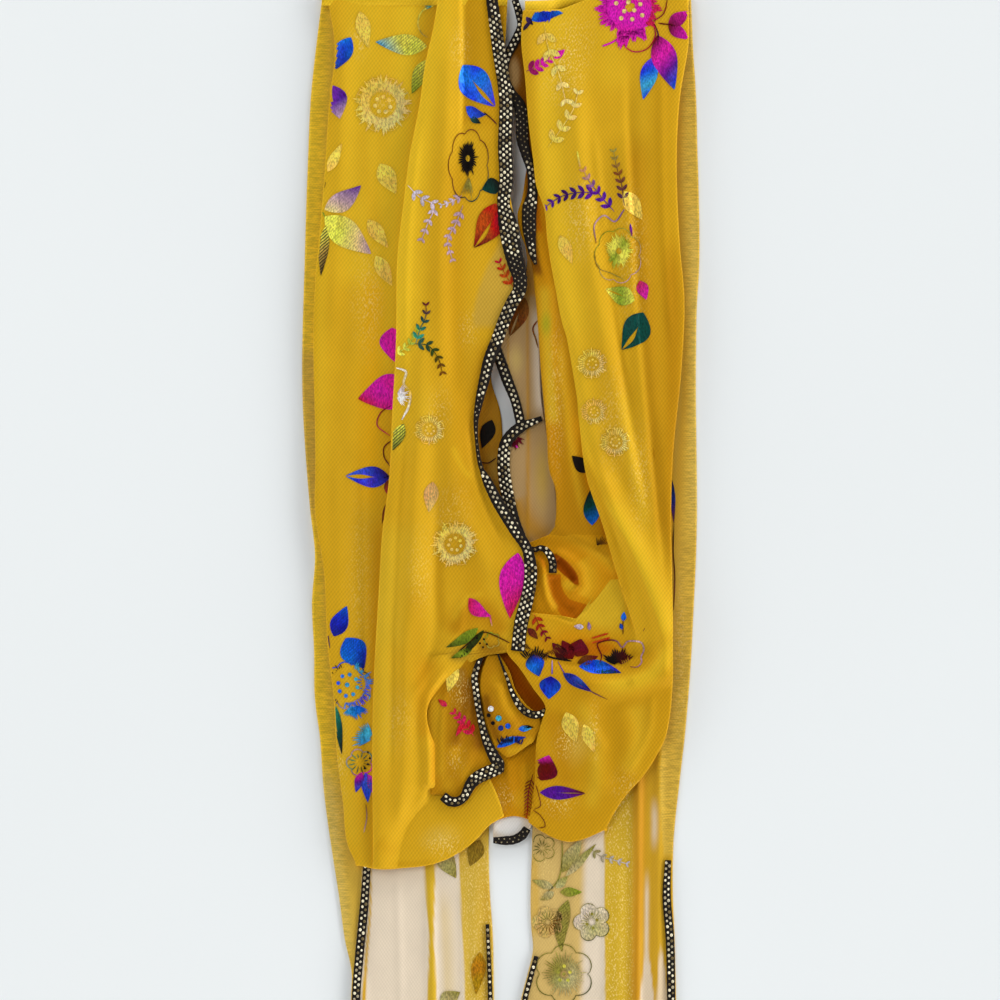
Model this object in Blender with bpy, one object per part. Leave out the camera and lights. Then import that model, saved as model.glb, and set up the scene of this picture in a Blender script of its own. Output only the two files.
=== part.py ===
"""A long net scarf, doubled over, pulled into a loose loop and laid flat.

Lengths are in millimetres and are turned into metres when a mesh is made. x runs to the right across
the folded scarf, "down" runs from the doubled top towards the two loose tails, and z is up from the
surface that the scarf lies on. From the surface upwards lie the two tails, the hidden folds, the
under layers, the small turned pieces in the middle, and the two front panels that join in a swag.
"""

from collections import namedtuple

import bpy
import numpy as np
from mathutils import Vector
from mathutils.bvhtree import BVHTree

# Driving sizes
MM = 0.001
NET_WALL = 1.0
GAP = 0.3
BRAID_WIDTH = 6.8
BRAID_THICK = 1.0
HIDDEN_THICK = 2.3
TAIL_END = 565.0
TOP_EDGE = 0.3
TURN_RADIUS = 3.75
CENTRE_X = 0.4
CENTRE_DOWN = 280.6

# Height of the underside of each level of the stack
LAYER = NET_WALL + GAP
ON_TAILS = LAYER
MIDDLE = 2 * LAYER
UNDER = ON_TAILS + HIDDEN_THICK + GAP
TURNED = UNDER + LAYER
FRONT = TURNED + LAYER

YELLOW = (0.70, 0.44, 0.024)
DEEP_YELLOW = (0.62, 0.34, 0.018)
ORANGE = (0.50, 0.22, 0.006)
CREAM = (0.75, 0.62, 0.44)
BLACK = (0.012, 0.011, 0.010)

Edge = namedtuple("Edge", "down x")
Rim = namedtuple("Rim", "across down")
Point = namedtuple("Point", "x down")
Height = namedtuple("Height", "down z")
Fold = namedtuple("Fold", "height width line")

OUTER_LEFT = (
    Edge(0, -89), Edge(20, -91.5), Edge(48, -94.5), Edge(80, -96), Edge(125, -97.5), Edge(205, -98.5),
    Edge(230, -97), Edge(254, -95), Edge(278, -92.5), Edge(301, -94), Edge(325, -93), Edge(350, -92.5),
    Edge(369, -90), Edge(393, -88.3), Edge(412, -86), Edge(432, -83), Edge(448, -80.5), Edge(470, -77.5),
    Edge(486, -74.2), Edge(500, -74.5), Edge(530, -73.5), Edge(TAIL_END, -74),
)
OUTER_RIGHT = (
    Edge(0, 95.5), Edge(24, 96.5), Edge(48, 98), Edge(72, 98.6), Edge(95, 99.3), Edge(139, 99.3),
    Edge(151, 98.5), Edge(178, 98), Edge(278, 98), Edge(310, 96.5), Edge(330, 95.5), Edge(350, 94),
    Edge(369, 92.3), Edge(393, 89.5), Edge(420, 86.8), Edge(448, 86.4), Edge(467, 87.2), Edge(500, 88),
    Edge(TAIL_END, 88.4),
)
TAIL_LEFT_INNER = (
    Edge(0, -6), Edge(50, 1), Edge(110, 2), Edge(160, 0), Edge(190, -4), Edge(209, -0.5), Edge(219, 1.2),
    Edge(235, 3), Edge(300, 3), Edge(345, 0), Edge(400, -5), Edge(448, -5), Edge(461, -4), Edge(500, -3),
    Edge(TAIL_END, -2),
)
TAIL_RIGHT_INNER = (
    Edge(0, 12), Edge(60, 13.5), Edge(95, 16), Edge(150, 20), Edge(262, 20), Edge(345, 18), Edge(421, 16),
    Edge(465, 15.7), Edge(474, 16.5), Edge(486, 14), Edge(500, 10.4), Edge(530, 9), Edge(TAIL_END, 8),
)
SWAG_LEFT_EDGE = (
    Edge(0, -86), Edge(25, -82.5), Edge(48, -85), Edge(91, -88), Edge(115, -90), Edge(140, -92.3),
    Edge(235, -92.3), Edge(254, -92.5), Edge(286, -88), Edge(325, -86), Edge(345, -83.5), Edge(377, -81.5),
    Edge(401, -78.5), Edge(424, -75.5), Edge(434, -70.8),
)
FOLD_LEFT = (
    Edge(0, -31), Edge(14, -33.3), Edge(32, -37.3), Edge(51, -40), Edge(80, -45.5), Edge(100, -48),
    Edge(125, -51), Edge(171, -52), Edge(210, -54), Edge(240, -55.5), Edge(266, -58.8), Edge(294, -60.5),
    Edge(333, -62.8), Edge(350, -63.5), Edge(434, -63.5),
)
FRONT_LEFT_SELVAGE = (
    Edge(0, -5), Edge(25, -1), Edge(50, 2.5), Edge(100, 3.5), Edge(115, 5), Edge(130, 8.5), Edge(140, 9.5),
    Edge(150, 6), Edge(165, 0), Edge(180, -3.5), Edge(190, -9), Edge(200, -11.5), Edge(215, -12),
    Edge(230, -10), Edge(240, -7), Edge(250, -2.5), Edge(260, 3), Edge(270, 9), Edge(277, 14.5),
    Edge(285, 15), Edge(300, 12.7), Edge(312, 10), Edge(323, 8.5), Edge(328, -6), Edge(334, -18),
    Edge(345, -31), Edge(397, -31.5), Edge(409, -42), Edge(424, -48), Edge(434, -50),
)
FOLD_RIGHT = (
    Edge(0, 12), Edge(20, 10.5), Edge(40, 12.5), Edge(60, 14), Edge(80, 16.5), Edge(95, 18.5), Edge(103, 21.5),
    Edge(120, 23.5), Edge(151, 28.5), Edge(181, 34), Edge(214, 39.5), Edge(240, 43.5), Edge(262, 51),
    Edge(286, 58), Edge(300, 62.5), Edge(317, 68),
)
FRONT_RIGHT_EDGE = (
    Edge(0, 94), Edge(20, 94.3), Edge(48, 90), Edge(125, 90), Edge(147, 92), Edge(186, 90.5), Edge(226, 86.5),
    Edge(317, 86.3),
)
INNER_RIGHT_SELVAGE = (
    Edge(1.5, 6), Edge(15, 8.2), Edge(22.5, 6.2), Edge(33, 2), Edge(38, 1.5), Edge(47, 4.5), Edge(56, 9.3),
    Edge(70, 9.8), Edge(85, 12.5), Edge(115, 13), Edge(131, 16), Edge(147, 18), Edge(187, 20.5), Edge(207, 21),
    Edge(240, 24.5), Edge(262, 27), Edge(275, 18), Edge(290, 16), Edge(310, 12), Edge(328, 10),
)
INNER_SHEER_SELVAGE = (
    Edge(120, 9), Edge(145, 6), Edge(165, 1), Edge(180, 0), Edge(192, 5.5), Edge(202, 9.5), Edge(209, 12),
    Edge(214, 9), Edge(220, 3), Edge(230, 0), Edge(245, 0.5), Edge(256, 4), Edge(268, 10), Edge(275, 14),
)
SWAG_RIGHT_INNER = (
    Edge(317.6, 14), Edge(326, 11), Edge(333, 15), Edge(345, 20), Edge(355, 23.5), Edge(360, 21), Edge(369, 18.5),
    Edge(388, 17.5), Edge(405, 15.5), Edge(411, 14), Edge(421, 14),
)
SWAG_RIGHT_OUTER = (
    Edge(317.6, 86.2), Edge(345, 86), Edge(360, 84.5), Edge(369, 82.5), Edge(378, 78), Edge(388, 71.5),
    Edge(398, 62.5), Edge(409, 55.5), Edge(421, 50),
)

TOP_RIGHT = (Rim(0, 5.5), Rim(0.22, 5.0), Rim(0.42, 0.4), Rim(1, 0.3))

# Paths of the braid's centreline, with its width on show there
Braid = namedtuple("Braid", "name width lowest path")
BRAIDS = (
    Braid("braid_tail_left_outer", 3.8, 0, (
        Point(-66, 426), Point(-68, 454), Point(-70.3, 478), Point(-72, 500), Point(-71, 530), Point(-71.6, 564.4))),
    Braid("braid_tail_left_inner", 2.4, 0, (
        Point(-6.3, 462), Point(-4.8, 500), Point(-3.8, 564.4))),
    Braid("braid_tail_right_inner", 2.6, 0, (
        Point(18.2, 478), Point(16, 486), Point(12.4, 500), Point(10.8, 530), Point(9.8, 564.4))),
    Braid("braid_tail_right_outer", 4.0, 0, (
        Point(84, 430), Point(83.3, 448), Point(84.8, 467), Point(85.6, 500), Point(86, 564.4))),
    Braid("braid_hem", 4.0, MIDDLE, (
        Point(-4.3, 419.6), Point(4.5, 420.6), Point(9.6, 419), Point(12.4, 415.4))),
    Braid("braid_inner_edge", 6.0, UNDER, (
        Point(-2, 181), Point(3.5, 186), Point(7.5, 197), Point(11, 210))),
    Braid("braid_inner_return", 6.4, UNDER, (
        Point(17.4, 209.6), Point(12, 211.6), Point(7.5, 214), Point(2.5, 220), Point(-0.5, 231), Point(0, 245),
        Point(3.2, 256), Point(7.6, 265))),
    Braid("braid_right_front", 6.2, TURNED, (
        Point(8, 1.5), Point(9.8, 14), Point(8, 23), Point(3.6, 32.5), Point(3.4, 39), Point(6.4, 48),
        Point(11, 56.5), Point(12, 70), Point(14.4, 85), Point(15, 100), Point(15, 115), Point(18, 131))),
    Braid("braid_hook", 5.0, TURNED, (
        Point(20.6, 273), Point(24, 273.2), Point(27, 278), Point(28, 286))),
    Braid("braid_pocket", 3.8, TURNED, (
        Point(-1, 328), Point(3, 337), Point(5.2, 345.5), Point(9, 352.6), Point(13.2, 356.8), Point(17, 357.6))),
    Braid("braid_flap_side", 3.4, TURNED, (
        Point(-10.6, 329), Point(-14.3, 338.5), Point(-14.6, 346), Point(-12.8, 356), Point(-10.8, 366),
        Point(-7.6, 375.6), Point(-3.2, 381.4))),
    Braid("braid_flap_hem", 5.6, TURNED, (
        Point(-1.6, 386), Point(-7.6, 388.4), Point(-13, 392), Point(-17, 397.4), Point(-23, 400.6), Point(-29.6, 397))),
    Braid("braid_left_front", BRAID_WIDTH, FRONT + LAYER, (
        Point(-7.4, -1.5), Point(-3.6, 25), Point(-0.4, 50), Point(0.8, 75), Point(1.2, 100), Point(2.6, 115),
        Point(6, 130), Point(6.8, 140), Point(3.6, 150), Point(-2.4, 165), Point(-6, 179), Point(-11, 190),
        Point(-13.6, 201), Point(-14.2, 215), Point(-12.2, 230), Point(-9.4, 240), Point(-5, 250), Point(0.4, 260),
        Point(6.4, 269), Point(11.4, 277), Point(12.2, 285), Point(10.4, 300), Point(8.2, 312), Point(6, 322))),
)


def material(name, colour, roughness, metallic=0.0):
    """A plain finish of one colour."""
    made = bpy.data.materials.new(name)
    made.use_nodes = True
    shader = made.node_tree.nodes["Principled BSDF"]
    shader.inputs["Base Color"].default_value = (*colour, 1.0)
    shader.inputs["Roughness"].default_value = roughness
    shader.inputs["Metallic"].default_value = metallic
    return made


def smooth(at, known, values):
    """A smooth curve through the known values: cubic between rows, each row's slope taken from its neighbours."""
    known, values = np.asarray(known, float), np.asarray(values, float)
    at = np.clip(np.asarray(at, float), known[0], known[-1])
    slopes = np.gradient(values, known) if len(known) > 2 else np.full(2, np.ptp(values) and
             (values[1] - values[0]) / (known[1] - known[0]))
    row = np.clip(np.searchsorted(known, at, side="right") - 1, 0, len(known) - 2)
    span = known[row + 1] - known[row]
    t = (at - known[row]) / span
    return (values[row] * (1 + 2 * t) * (1 - t) ** 2 + slopes[row] * span * t * (1 - t) ** 2
            + values[row + 1] * t * t * (3 - 2 * t) - slopes[row + 1] * span * t * t * (1 - t))


def edge_x(edge, down):
    """x of a side edge at each distance down, straight between rows so that it cannot overshoot."""
    return np.interp(down, [row.down for row in edge], [row.x for row in edge])


def ramp(value):
    """Eases from 0 to 1."""
    t = np.clip(value, 0.0, 1.0)
    return t * t * (3 - 2 * t)


def distance_along(x, down, line):
    """Distance from each place to a fold line, and how far along the line (0 to 1) its nearest point lies."""
    points = np.array(line, float)
    steps = np.hypot(*np.diff(points, axis=0).T)
    reached = np.concatenate([[0.0], np.cumsum(steps)])
    nearest, along = np.full(np.shape(x), np.inf), np.zeros(np.shape(x))
    for start, end, begun, length in zip(points, points[1:], reached, steps):
        step = (end - start) / length
        t = np.clip((x - start[0]) * step[0] + (down - start[1]) * step[1], 0, length)
        apart = np.hypot(x - start[0] - t * step[0], down - start[1] - t * step[1])
        closer = apart < nearest
        nearest = np.where(closer, apart, nearest)
        along = np.where(closer, (begun + t) / reached[-1], along)
    return nearest, along


def fold_height(x, down, folds):
    """Soft ridges: each is highest on its line, fades to the sides like a bell and runs out at both ends."""
    total = np.zeros(np.shape(x))
    for fold in folds:
        apart, along = distance_along(x, down, fold.line)
        total += fold.height * np.exp(-((apart / fold.width) ** 2)) * ramp(6 * along) * ramp(6 * (1 - along))
    return total


def rows_between(marks, longest):
    """The marks, with more rows between two that lie further apart than the longest step."""
    rows = [marks[0]]
    for mark in marks[1:]:
        count = max(1, int(np.ceil((mark - rows[-1]) / longest)))
        rows += list(np.linspace(rows[-1], mark, count + 1)[1:])
    return np.array(rows)


def to_world(x, down, z):
    """Places in the finished frame, in metres."""
    return np.stack([(x - CENTRE_X) * MM, (CENTRE_DOWN - down) * MM, z * MM], axis=-1)


BUILT = []


def add_object(name, points, faces, finish):
    """One named, closed solid."""
    mesh = bpy.data.meshes.new(name)
    mesh.from_pydata([tuple(point) for point in points], [], faces)
    mesh.update()
    made = bpy.data.objects.new(name, mesh)
    made.data.materials.append(finish)
    bpy.context.scene.collection.objects.link(made)
    BUILT.append(BVHTree.FromPolygons([Vector(point) for point in points], faces))
    return made


def wall(name, outer, inner, finish):
    """A closed wall between two grids of places that face the same way, rows by columns."""
    rows, columns = outer.shape[:2]
    points = np.concatenate([outer.reshape(-1, 3), inner.reshape(-1, 3)])
    under = rows * columns

    def at(row, column, side=0):
        return side * under + row * columns + column

    faces = []
    for row in range(rows - 1):
        for column in range(columns - 1):
            corners = ((row, column), (row + 1, column), (row + 1, column + 1), (row, column + 1))
            faces.append([at(*corner) for corner in corners])
            faces.append([at(*corner, 1) for corner in reversed(corners)])
        faces.append([at(row + 1, 0), at(row, 0), at(row, 0, 1), at(row + 1, 0, 1)])
        last = columns - 1
        faces.append([at(row, last), at(row + 1, last), at(row + 1, last, 1), at(row, last, 1)])
    for column in range(columns - 1):
        last = rows - 1
        faces.append([at(0, column), at(0, column + 1), at(0, column + 1, 1), at(0, column, 1)])
        faces.append([at(last, column + 1), at(last, column), at(last, column, 1), at(last, column + 1, 1)])
    return add_object(name, points, faces, finish)


def spread(left, right, top, bottom, columns, longest):
    """Places over a length of net, in columns from its left to its right edge and rows from top to bottom rim."""
    marks = sorted({row.down for row in (*left, *right) if top[0].down < row.down < bottom[0].down})
    marks = [mark for i, mark in enumerate(marks) if i == 0 or mark - marks[i - 1] > 0.3 * longest]
    rows = rows_between([top[0].down, *marks, bottom[0].down], longest)
    share = (rows - rows[0]) / (rows[-1] - rows[0])
    even = np.linspace(0, 1, columns)
    across = 0.55 * even + 0.45 * (0.5 - 0.5 * np.cos(np.pi * even))
    first = np.interp(across, [rim.across for rim in top], [rim.down for rim in top])
    last = np.interp(across, [rim.across for rim in bottom], [rim.down for rim in bottom])
    down = first + (last - first) * share[:, None]
    low, high = edge_x(left, down), edge_x(right, down)
    return low + (high - low) * across, down, across


def curl(x, down, left, right, rise_left, rise_right):
    """The turned edges: the net lifts within a few millimetres of an edge and sinks again further in."""
    total = np.zeros(np.shape(x))
    for inset, rise in ((x - edge_x(left, down), rise_left), (edge_x(right, down) - x, rise_right)):
        inset = np.maximum(inset, 0)
        total += rise * (1 - np.exp(-inset / 2.5)) * np.exp(-inset / 16.0)
    return total


def net(name, finish, left, right, end, columns, longest, lift, start=TOP_EDGE, top=None, bottom=None,
        folds=(), flat_folds=(), rise=(0.0, 0.0)):
    """A stretch of net as a wall: folds lift the whole wall, and flat folds thicken it over a flat underside."""
    top = top or (Rim(0, start), Rim(1, start))
    bottom = bottom or (Rim(0, end), Rim(1, end))
    x, down, _ = spread(left, right, top, bottom, columns, longest)
    lift = lift if isinstance(lift, tuple) else (Height(start, lift), Height(end, lift))
    under = np.interp(down, [row.down for row in lift], [row.z for row in lift])
    under = under + curl(x, down, left, right, *rise) + fold_height(x, down, folds)
    over = under + NET_WALL + fold_height(x, down, flat_folds)
    return wall(name, to_world(x, down, over), to_world(x, down, under), finish)


def hidden_folds(name, finish, left, right, start, bottom, longest):
    """The folds that nothing shows, as one solid: its sides step in like the edges of stacked layers."""
    steps = ((0.0, 0.35), (1.4, 0.35), (2.0, 0.70), (3.6, 0.70), (4.4, 1.0))
    top = (Rim(0, start), Rim(1, start))
    x, down, _ = spread(left, right, top, bottom, 7, longest)
    low, high = edge_x(left, down[:, :1]), edge_x(right, down[:, :1])
    sides = [low + inset for inset, _ in steps] + [x[:, 3:4]] + [high - inset for inset, _ in reversed(steps)]
    part = [share for _, share in steps] + [1.0] + [share for _, share in reversed(steps)]
    across = np.concatenate(sides, axis=1)
    place = (across - low) / (high - low)
    below = np.array([np.interp(line, np.linspace(0, 1, 7), row) for line, row in zip(place, down)])
    thick = HIDDEN_THICK * np.array(part) * np.ones_like(across)
    thick[0] *= 0.7
    thick[-1] *= 0.5
    under = np.full_like(across, ON_TAILS)
    return wall(name, to_world(across, below, under + thick), to_world(across, below, under), finish)


def turned_top(name, finish, places, dips):
    """The doubled edge: the net turns half round from the tail underneath up to the front panel."""
    angles = np.linspace(-90, 90, 9)
    across = np.array(places, float)
    crest = np.array(dips, float)
    turn = np.radians(angles)[:, None]
    grids = []
    for radius in (TURN_RADIUS, TURN_RADIUS - NET_WALL):
        down = crest - radius * np.cos(turn)
        z = TURN_RADIUS + radius * np.sin(turn) + 0 * crest
        grids.append(to_world(across + 0 * down, down, z))
    return wall(name, *grids, finish)


def height_below(x, down):
    """Height in millimetres of what is already built at a place, or 0 where only the surface lies below."""
    place = to_world(np.array(x), np.array(down), np.array(100.0))
    hits = [tree.ray_cast(Vector(place), Vector((0, 0, -1)))[0] for tree in BUILT]
    return max([hit.z / MM for hit in hits if hit is not None], default=0.0)


def braid(row, finish):
    """Flat braid along its path, lying on what is below it: each cross section clears the net on both sides of it."""
    points = np.array(row.path, float)
    steps = np.hypot(*np.diff(points, axis=0).T)
    reached = np.concatenate([[0.0], np.cumsum(steps)])
    count = max(4, int(round(reached[-1] / 7.0)))
    along = np.linspace(0, reached[-1], count + 1)
    fine = np.linspace(0, reached[-1], 4 * count + 1)
    x, down = smooth(fine, reached, points[:, 0]), smooth(fine, reached, points[:, 1])
    ahead_x, ahead_down = np.gradient(x, fine), np.gradient(down, fine)
    size = np.hypot(ahead_x, ahead_down)
    side_x, side_down = ahead_down / size, -ahead_x / size
    half = row.width / 2
    heights = np.array([
        max(height_below(x[i] + off * side_x[i], down[i] + off * side_down[i]) for off in np.linspace(-half, half, 5))
        for i in range(len(fine))])
    low = np.array([heights[max(0, 4 * i - 5):4 * i + 6].max() for i in range(len(along))])
    low = np.maximum(low + GAP, row.lowest)
    centre = slice(None, None, 4)
    profile = ((-half, 0.0), (-half, 0.6), (-0.6 * half, 1.0), (0.6 * half, 1.0), (half, 0.6), (half, 0.0))
    ring = [to_world(x[centre] + off * side_x[centre], down[centre] + off * side_down[centre],
                     low + share * BRAID_THICK) for off, share in profile]
    rings = np.stack(ring, axis=1)
    sides = len(profile)
    faces = []
    for i in range(count):
        for j in range(sides):
            k = (j + 1) % sides
            faces.append([i * sides + k, i * sides + j, (i + 1) * sides + j, (i + 1) * sides + k])
    faces.append(list(range(sides)))
    faces.append([count * sides + j for j in reversed(range(sides))])
    return add_object(row.name, rings.reshape(-1, 3), faces, finish)


def build_tails(net_yellow, net_cream):
    """The two loose ends, flat on the surface, with their pleats raised on the upper side only."""
    pleats_left = (
        Fold(1.3, 3.2, ((-35.5, 424), (-34, 480), (-34, TAIL_END + 60))),
        Fold(0.8, 5.5, ((-13, 424), (-12, 480), (-12, TAIL_END + 60))),
        Fold(0.8, 3.5, ((-78, 424), (-73, 470), (-69, 500), (-68, TAIL_END + 60))),
    )
    pleats_right = (
        Fold(0.9, 6.0, ((59, 416), (59, 480), (58, TAIL_END + 60))),
        Fold(1.6, 2.8, ((69.5, 398), (69, 440), (67, TAIL_END + 60))),
        Fold(1.0, 2.6, ((80, 380), (79, 480), (79, TAIL_END + 60))),
    )
    net("tail_left", net_cream, OUTER_LEFT, TAIL_LEFT_INNER, TAIL_END, 14, 26, 0.0, flat_folds=pleats_left)
    net("tail_right", net_cream, TAIL_RIGHT_INNER, OUTER_RIGHT, TAIL_END, 14, 26, 0.0, top=TOP_RIGHT,
        flat_folds=pleats_right)
    turned_top("top_turn_left", net_yellow, (-89, -70, -50, -30, -10, -6), (0, 0, 0, 0, 0, 0))
    turned_top("top_turn_right", net_yellow, (12.5, 20, 27, 40, 55, 75, 94), (4.8, 4.6, 4.2, 0, 0, 0, 0))


def build_hidden(finish):
    """What nothing shows between the tails and the front."""
    hidden_folds(
        "hidden_folds_left", finish,
        (Edge(1.5, -84), Edge(48, -82), Edge(91, -85), Edge(140, -89), Edge(262, -88.5), Edge(300, -84),
         Edge(345, -80), Edge(401, -74), Edge(424, -71)),
        (Edge(1.5, -8), Edge(50, -5), Edge(140, -4), Edge(190, -14), Edge(235, -13), Edge(262, -6),
         Edge(300, -9.5), Edge(377, -11), Edge(401, -13), Edge(424, -18)),
        4.2, (Rim(0, 424), Rim(0.6, 423), Rim(1, 404)), 40)
    hidden_folds(
        "hidden_folds_right", finish,
        (Edge(1.5, 19), Edge(95, 22), Edge(150, 23), Edge(187, 24), Edge(214, 28), Edge(250, 33), Edge(330, 30),
         Edge(412, 27)),
        (Edge(1.5, 90), Edge(48, 87), Edge(147, 88), Edge(226, 83.5), Edge(345, 82), Edge(360, 80), Edge(378, 74),
         Edge(398, 58), Edge(412, 48)),
        9.5, (Rim(0, 412), Rim(0.5, 414), Rim(1, 408)), 40)


def build_middle(finish, cream):
    """The small pieces that show in the middle: the sheer strip, the recess over the gap and the patch by the hem."""
    net("hem_patch", cream, (Edge(395, -8), Edge(421, -8)), (Edge(395, 19), Edge(421, 17)), 420, 6, 14, ON_TAILS,
        start=395, bottom=(Rim(0, 420), Rim(0.45, 421), Rim(0.8, 418.5), Rim(1, 413)))
    net("inner_recess", finish, (Edge(322, -5.5), Edge(345, -8), Edge(370, -7), Edge(390, -5), Edge(412, -4)),
        (Edge(322, 20), Edge(345, 25), Edge(370, 24), Edge(390, 20), Edge(412, 18)), 411, 7, 22, MIDDLE, start=322,
        bottom=(Rim(0, 411), Rim(0.5, 408), Rim(1, 411)))
    net("inner_sheer", cream, INNER_SHEER_SELVAGE,
        (Edge(120, 19.5), Edge(180, 20), Edge(202, 21), Edge(214, 23), Edge(230, 26), Edge(245, 28), Edge(275, 29)),
        275, 6, 12, MIDDLE, start=120)


def build_under(finish, deep):
    """The under layers of the loop, on show beside the front panels."""
    net("swag_left", finish, SWAG_LEFT_EDGE,
        (Edge(0, -8), Edge(50, -1.5), Edge(100, 0), Edge(140, 2), Edge(180, -8), Edge(215, -15), Edge(240, -11),
         Edge(262, -1), Edge(286, 6), Edge(300, 2), Edge(325, -10), Edge(377, -10), Edge(401, 0), Edge(421, 5),
         Edge(434, 5)),
        432.5, 12, 17, UNDER, start=1.5, rise=(0.9, 0.0),
        bottom=(Rim(0, 432.5), Rim(0.12, 434.5), Rim(0.29, 434), Rim(0.52, 431.5), Rim(0.66, 427), Rim(0.79, 420),
                Rim(0.87, 414), Rim(1, 408)))
    net("inner_right", deep, INNER_RIGHT_SELVAGE,
        (Edge(1.5, 89), Edge(48, 87), Edge(147, 89), Edge(187, 87), Edge(226, 83.5), Edge(328, 83)), 328, 12, 15,
        UNDER, start=6.5, folds=(Fold(1.1, 4.0, ((24, 128), (28, 190), (34, 252))),))


def build_turned(finish, deep):
    """Small turned pieces between the under layers and the front: the flap, the pocket fold and the swirl."""
    net("flap_left", deep,
        (Edge(328, -26), Edge(335, -31), Edge(345, -34.5), Edge(404, -34.5)),
        (Edge(328, -9), Edge(335, -12.5), Edge(345, -13), Edge(356, -11), Edge(366, -9), Edge(376, -5.5),
         Edge(384, 0.4), Edge(404, 0.4)),
        397, 10, 7, TURNED, start=328,
        folds=(Fold(1.0, 3.5, ((-18, 334), (-22, 358), (-26, 384))), Fold(0.9, 3.0, ((-12, 366), (-17, 384)))),
        bottom=(Rim(0, 397), Rim(0.14, 397.4), Rim(0.34, 403.4), Rim(0.49, 400), Rim(0.71, 391), Rim(0.85, 388.5),
                Rim(1, 384)))
    net("pocket_fold", finish,
        (Edge(327, -6), Edge(335, -9), Edge(345, -10), Edge(352, -8.6), Edge(362, -7), Edge(368, -4.8),
         Edge(378, -1.2)),
        (Edge(327, -0.5), Edge(335, 4.5), Edge(345, 8), Edge(352, 13), Edge(358, 19.5), Edge(362, 20.5),
         Edge(368, 18.3), Edge(378, 12)),
        374, 8, 6, TURNED, start=327, folds=(Fold(1.4, 3.0, ((-2, 340), (2, 356), (10, 366))),),
        bottom=(Rim(0, 374), Rim(0.25, 378), Rim(0.6, 377.5), Rim(1, 371)))
    net("swirl", deep, (Edge(270, 19.5), Edge(290, 19), Edge(310, 15.5), Edge(317, 14.5)),
        (Edge(270, 50), Edge(290, 56), Edge(310, 63), Edge(317, 66)), 317, 11, 5, TURNED, start=270,
        folds=(
            Fold(2.6, 3.0, ((29, 270), (36, 276), (42, 285), (41, 296), (33, 303))),
            Fold(2.0, 3.0, ((22, 288), (28, 296), (34, 309), (50, 316))),
        ))


def build_front(finish):
    """The two front panels and the right half of the swag, with their main folds."""
    net("panel_left", finish, FOLD_LEFT, FRONT_LEFT_SELVAGE, 434, 15, 13,
        (Height(0, FRONT), Height(325, FRONT), Height(345, FRONT - 0.6), Height(400, FRONT - 0.4),
         Height(434, TURNED + 0.6)),
        rise=(3.0, 0.0),
        folds=(
            Fold(2.2, 5.0, ((-20, 10), (-20, 120), (-16, 210))),
            Fold(2.6, 7.0, ((-34, 150), (-40, 230), (-44, 330))),
            Fold(2.0, 7.0, ((-26, 190), (-18, 262), (0, 292))),
            Fold(1.8, 6.0, ((-48, 300), (-47, 360), (-50, 420))),
            Fold(2.4, 4.0, ((-24, 328), (-35, 350), (-36, 395), (-46, 415))),
        ))
    net("panel_right", finish, FOLD_RIGHT, FRONT_RIGHT_EDGE, 317, 15, 13, FRONT, rise=(3.2, 1.0),
        top=TOP_RIGHT,
        folds=(
            Fold(2.6, 6.0, ((34, 20), (44, 120), (58, 200), (72, 262))),
            Fold(2.0, 6.0, ((62, 60), (68, 150), (76, 230))),
            Fold(3.2, 6.5, ((44, 225), (55, 252), (72, 285), (81, 312), (84, 345))),
        ))
    net("swag_right", finish, SWAG_RIGHT_INNER, SWAG_RIGHT_OUTER, 411, 13, 9,
        (Height(317.6, FRONT), Height(340, FRONT + 0.6), Height(365, FRONT - 0.6), Height(395, UNDER + 1.2),
         Height(421, UNDER)),
        start=317.6, rise=(0.6, 0.4),
        bottom=(Rim(0, 411), Rim(0.2, 416), Rim(0.4, 419.5), Rim(0.6, 420.8), Rim(0.8, 419), Rim(1, 415)),
        folds=(
            Fold(3.0, 7.0, ((82, 300), (82, 326), (74, 338), (56, 343), (34, 340))),
            Fold(1.6, 6.0, ((40, 345), (46, 370), (50, 400))),
            Fold(1.2, 5.0, ((60, 350), (64, 370), (62, 392))),
        ))


def main():
    """Builds the scarf from the surface upwards, and lays the braid on as the last step."""
    for old in list(bpy.data.objects):
        bpy.data.objects.remove(old, do_unlink=True)
    yellow = material("net_yellow", YELLOW, 0.6)
    deep_yellow = material("net_deep_yellow", DEEP_YELLOW, 0.6)
    orange = material("net_orange", ORANGE, 0.65)
    cream = material("net_cream", CREAM, 0.6)
    braid_black = material("braid_black", BLACK, 0.45, 0.2)
    build_tails(yellow, cream)
    build_hidden(deep_yellow)
    build_middle(orange, cream)
    build_under(deep_yellow, orange)
    build_turned(deep_yellow, orange)
    build_front(yellow)
    for row in BRAIDS:
        braid(row, braid_black)


main()
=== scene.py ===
"""Dresses the doubled net scarf: thin folded net, foil flowers and leaves, and the black studded braid.

Lengths in the tables are millimetres. x runs to the right across the folded scarf, "down" runs from the
doubled top towards the two loose tails, and z is up from the surface that the scarf lies on. Every piece
is turned into metres in the frame of the solids when its mesh is made.
"""

from __future__ import annotations

import logging
import math
from dataclasses import dataclass
from enum import Enum

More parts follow.
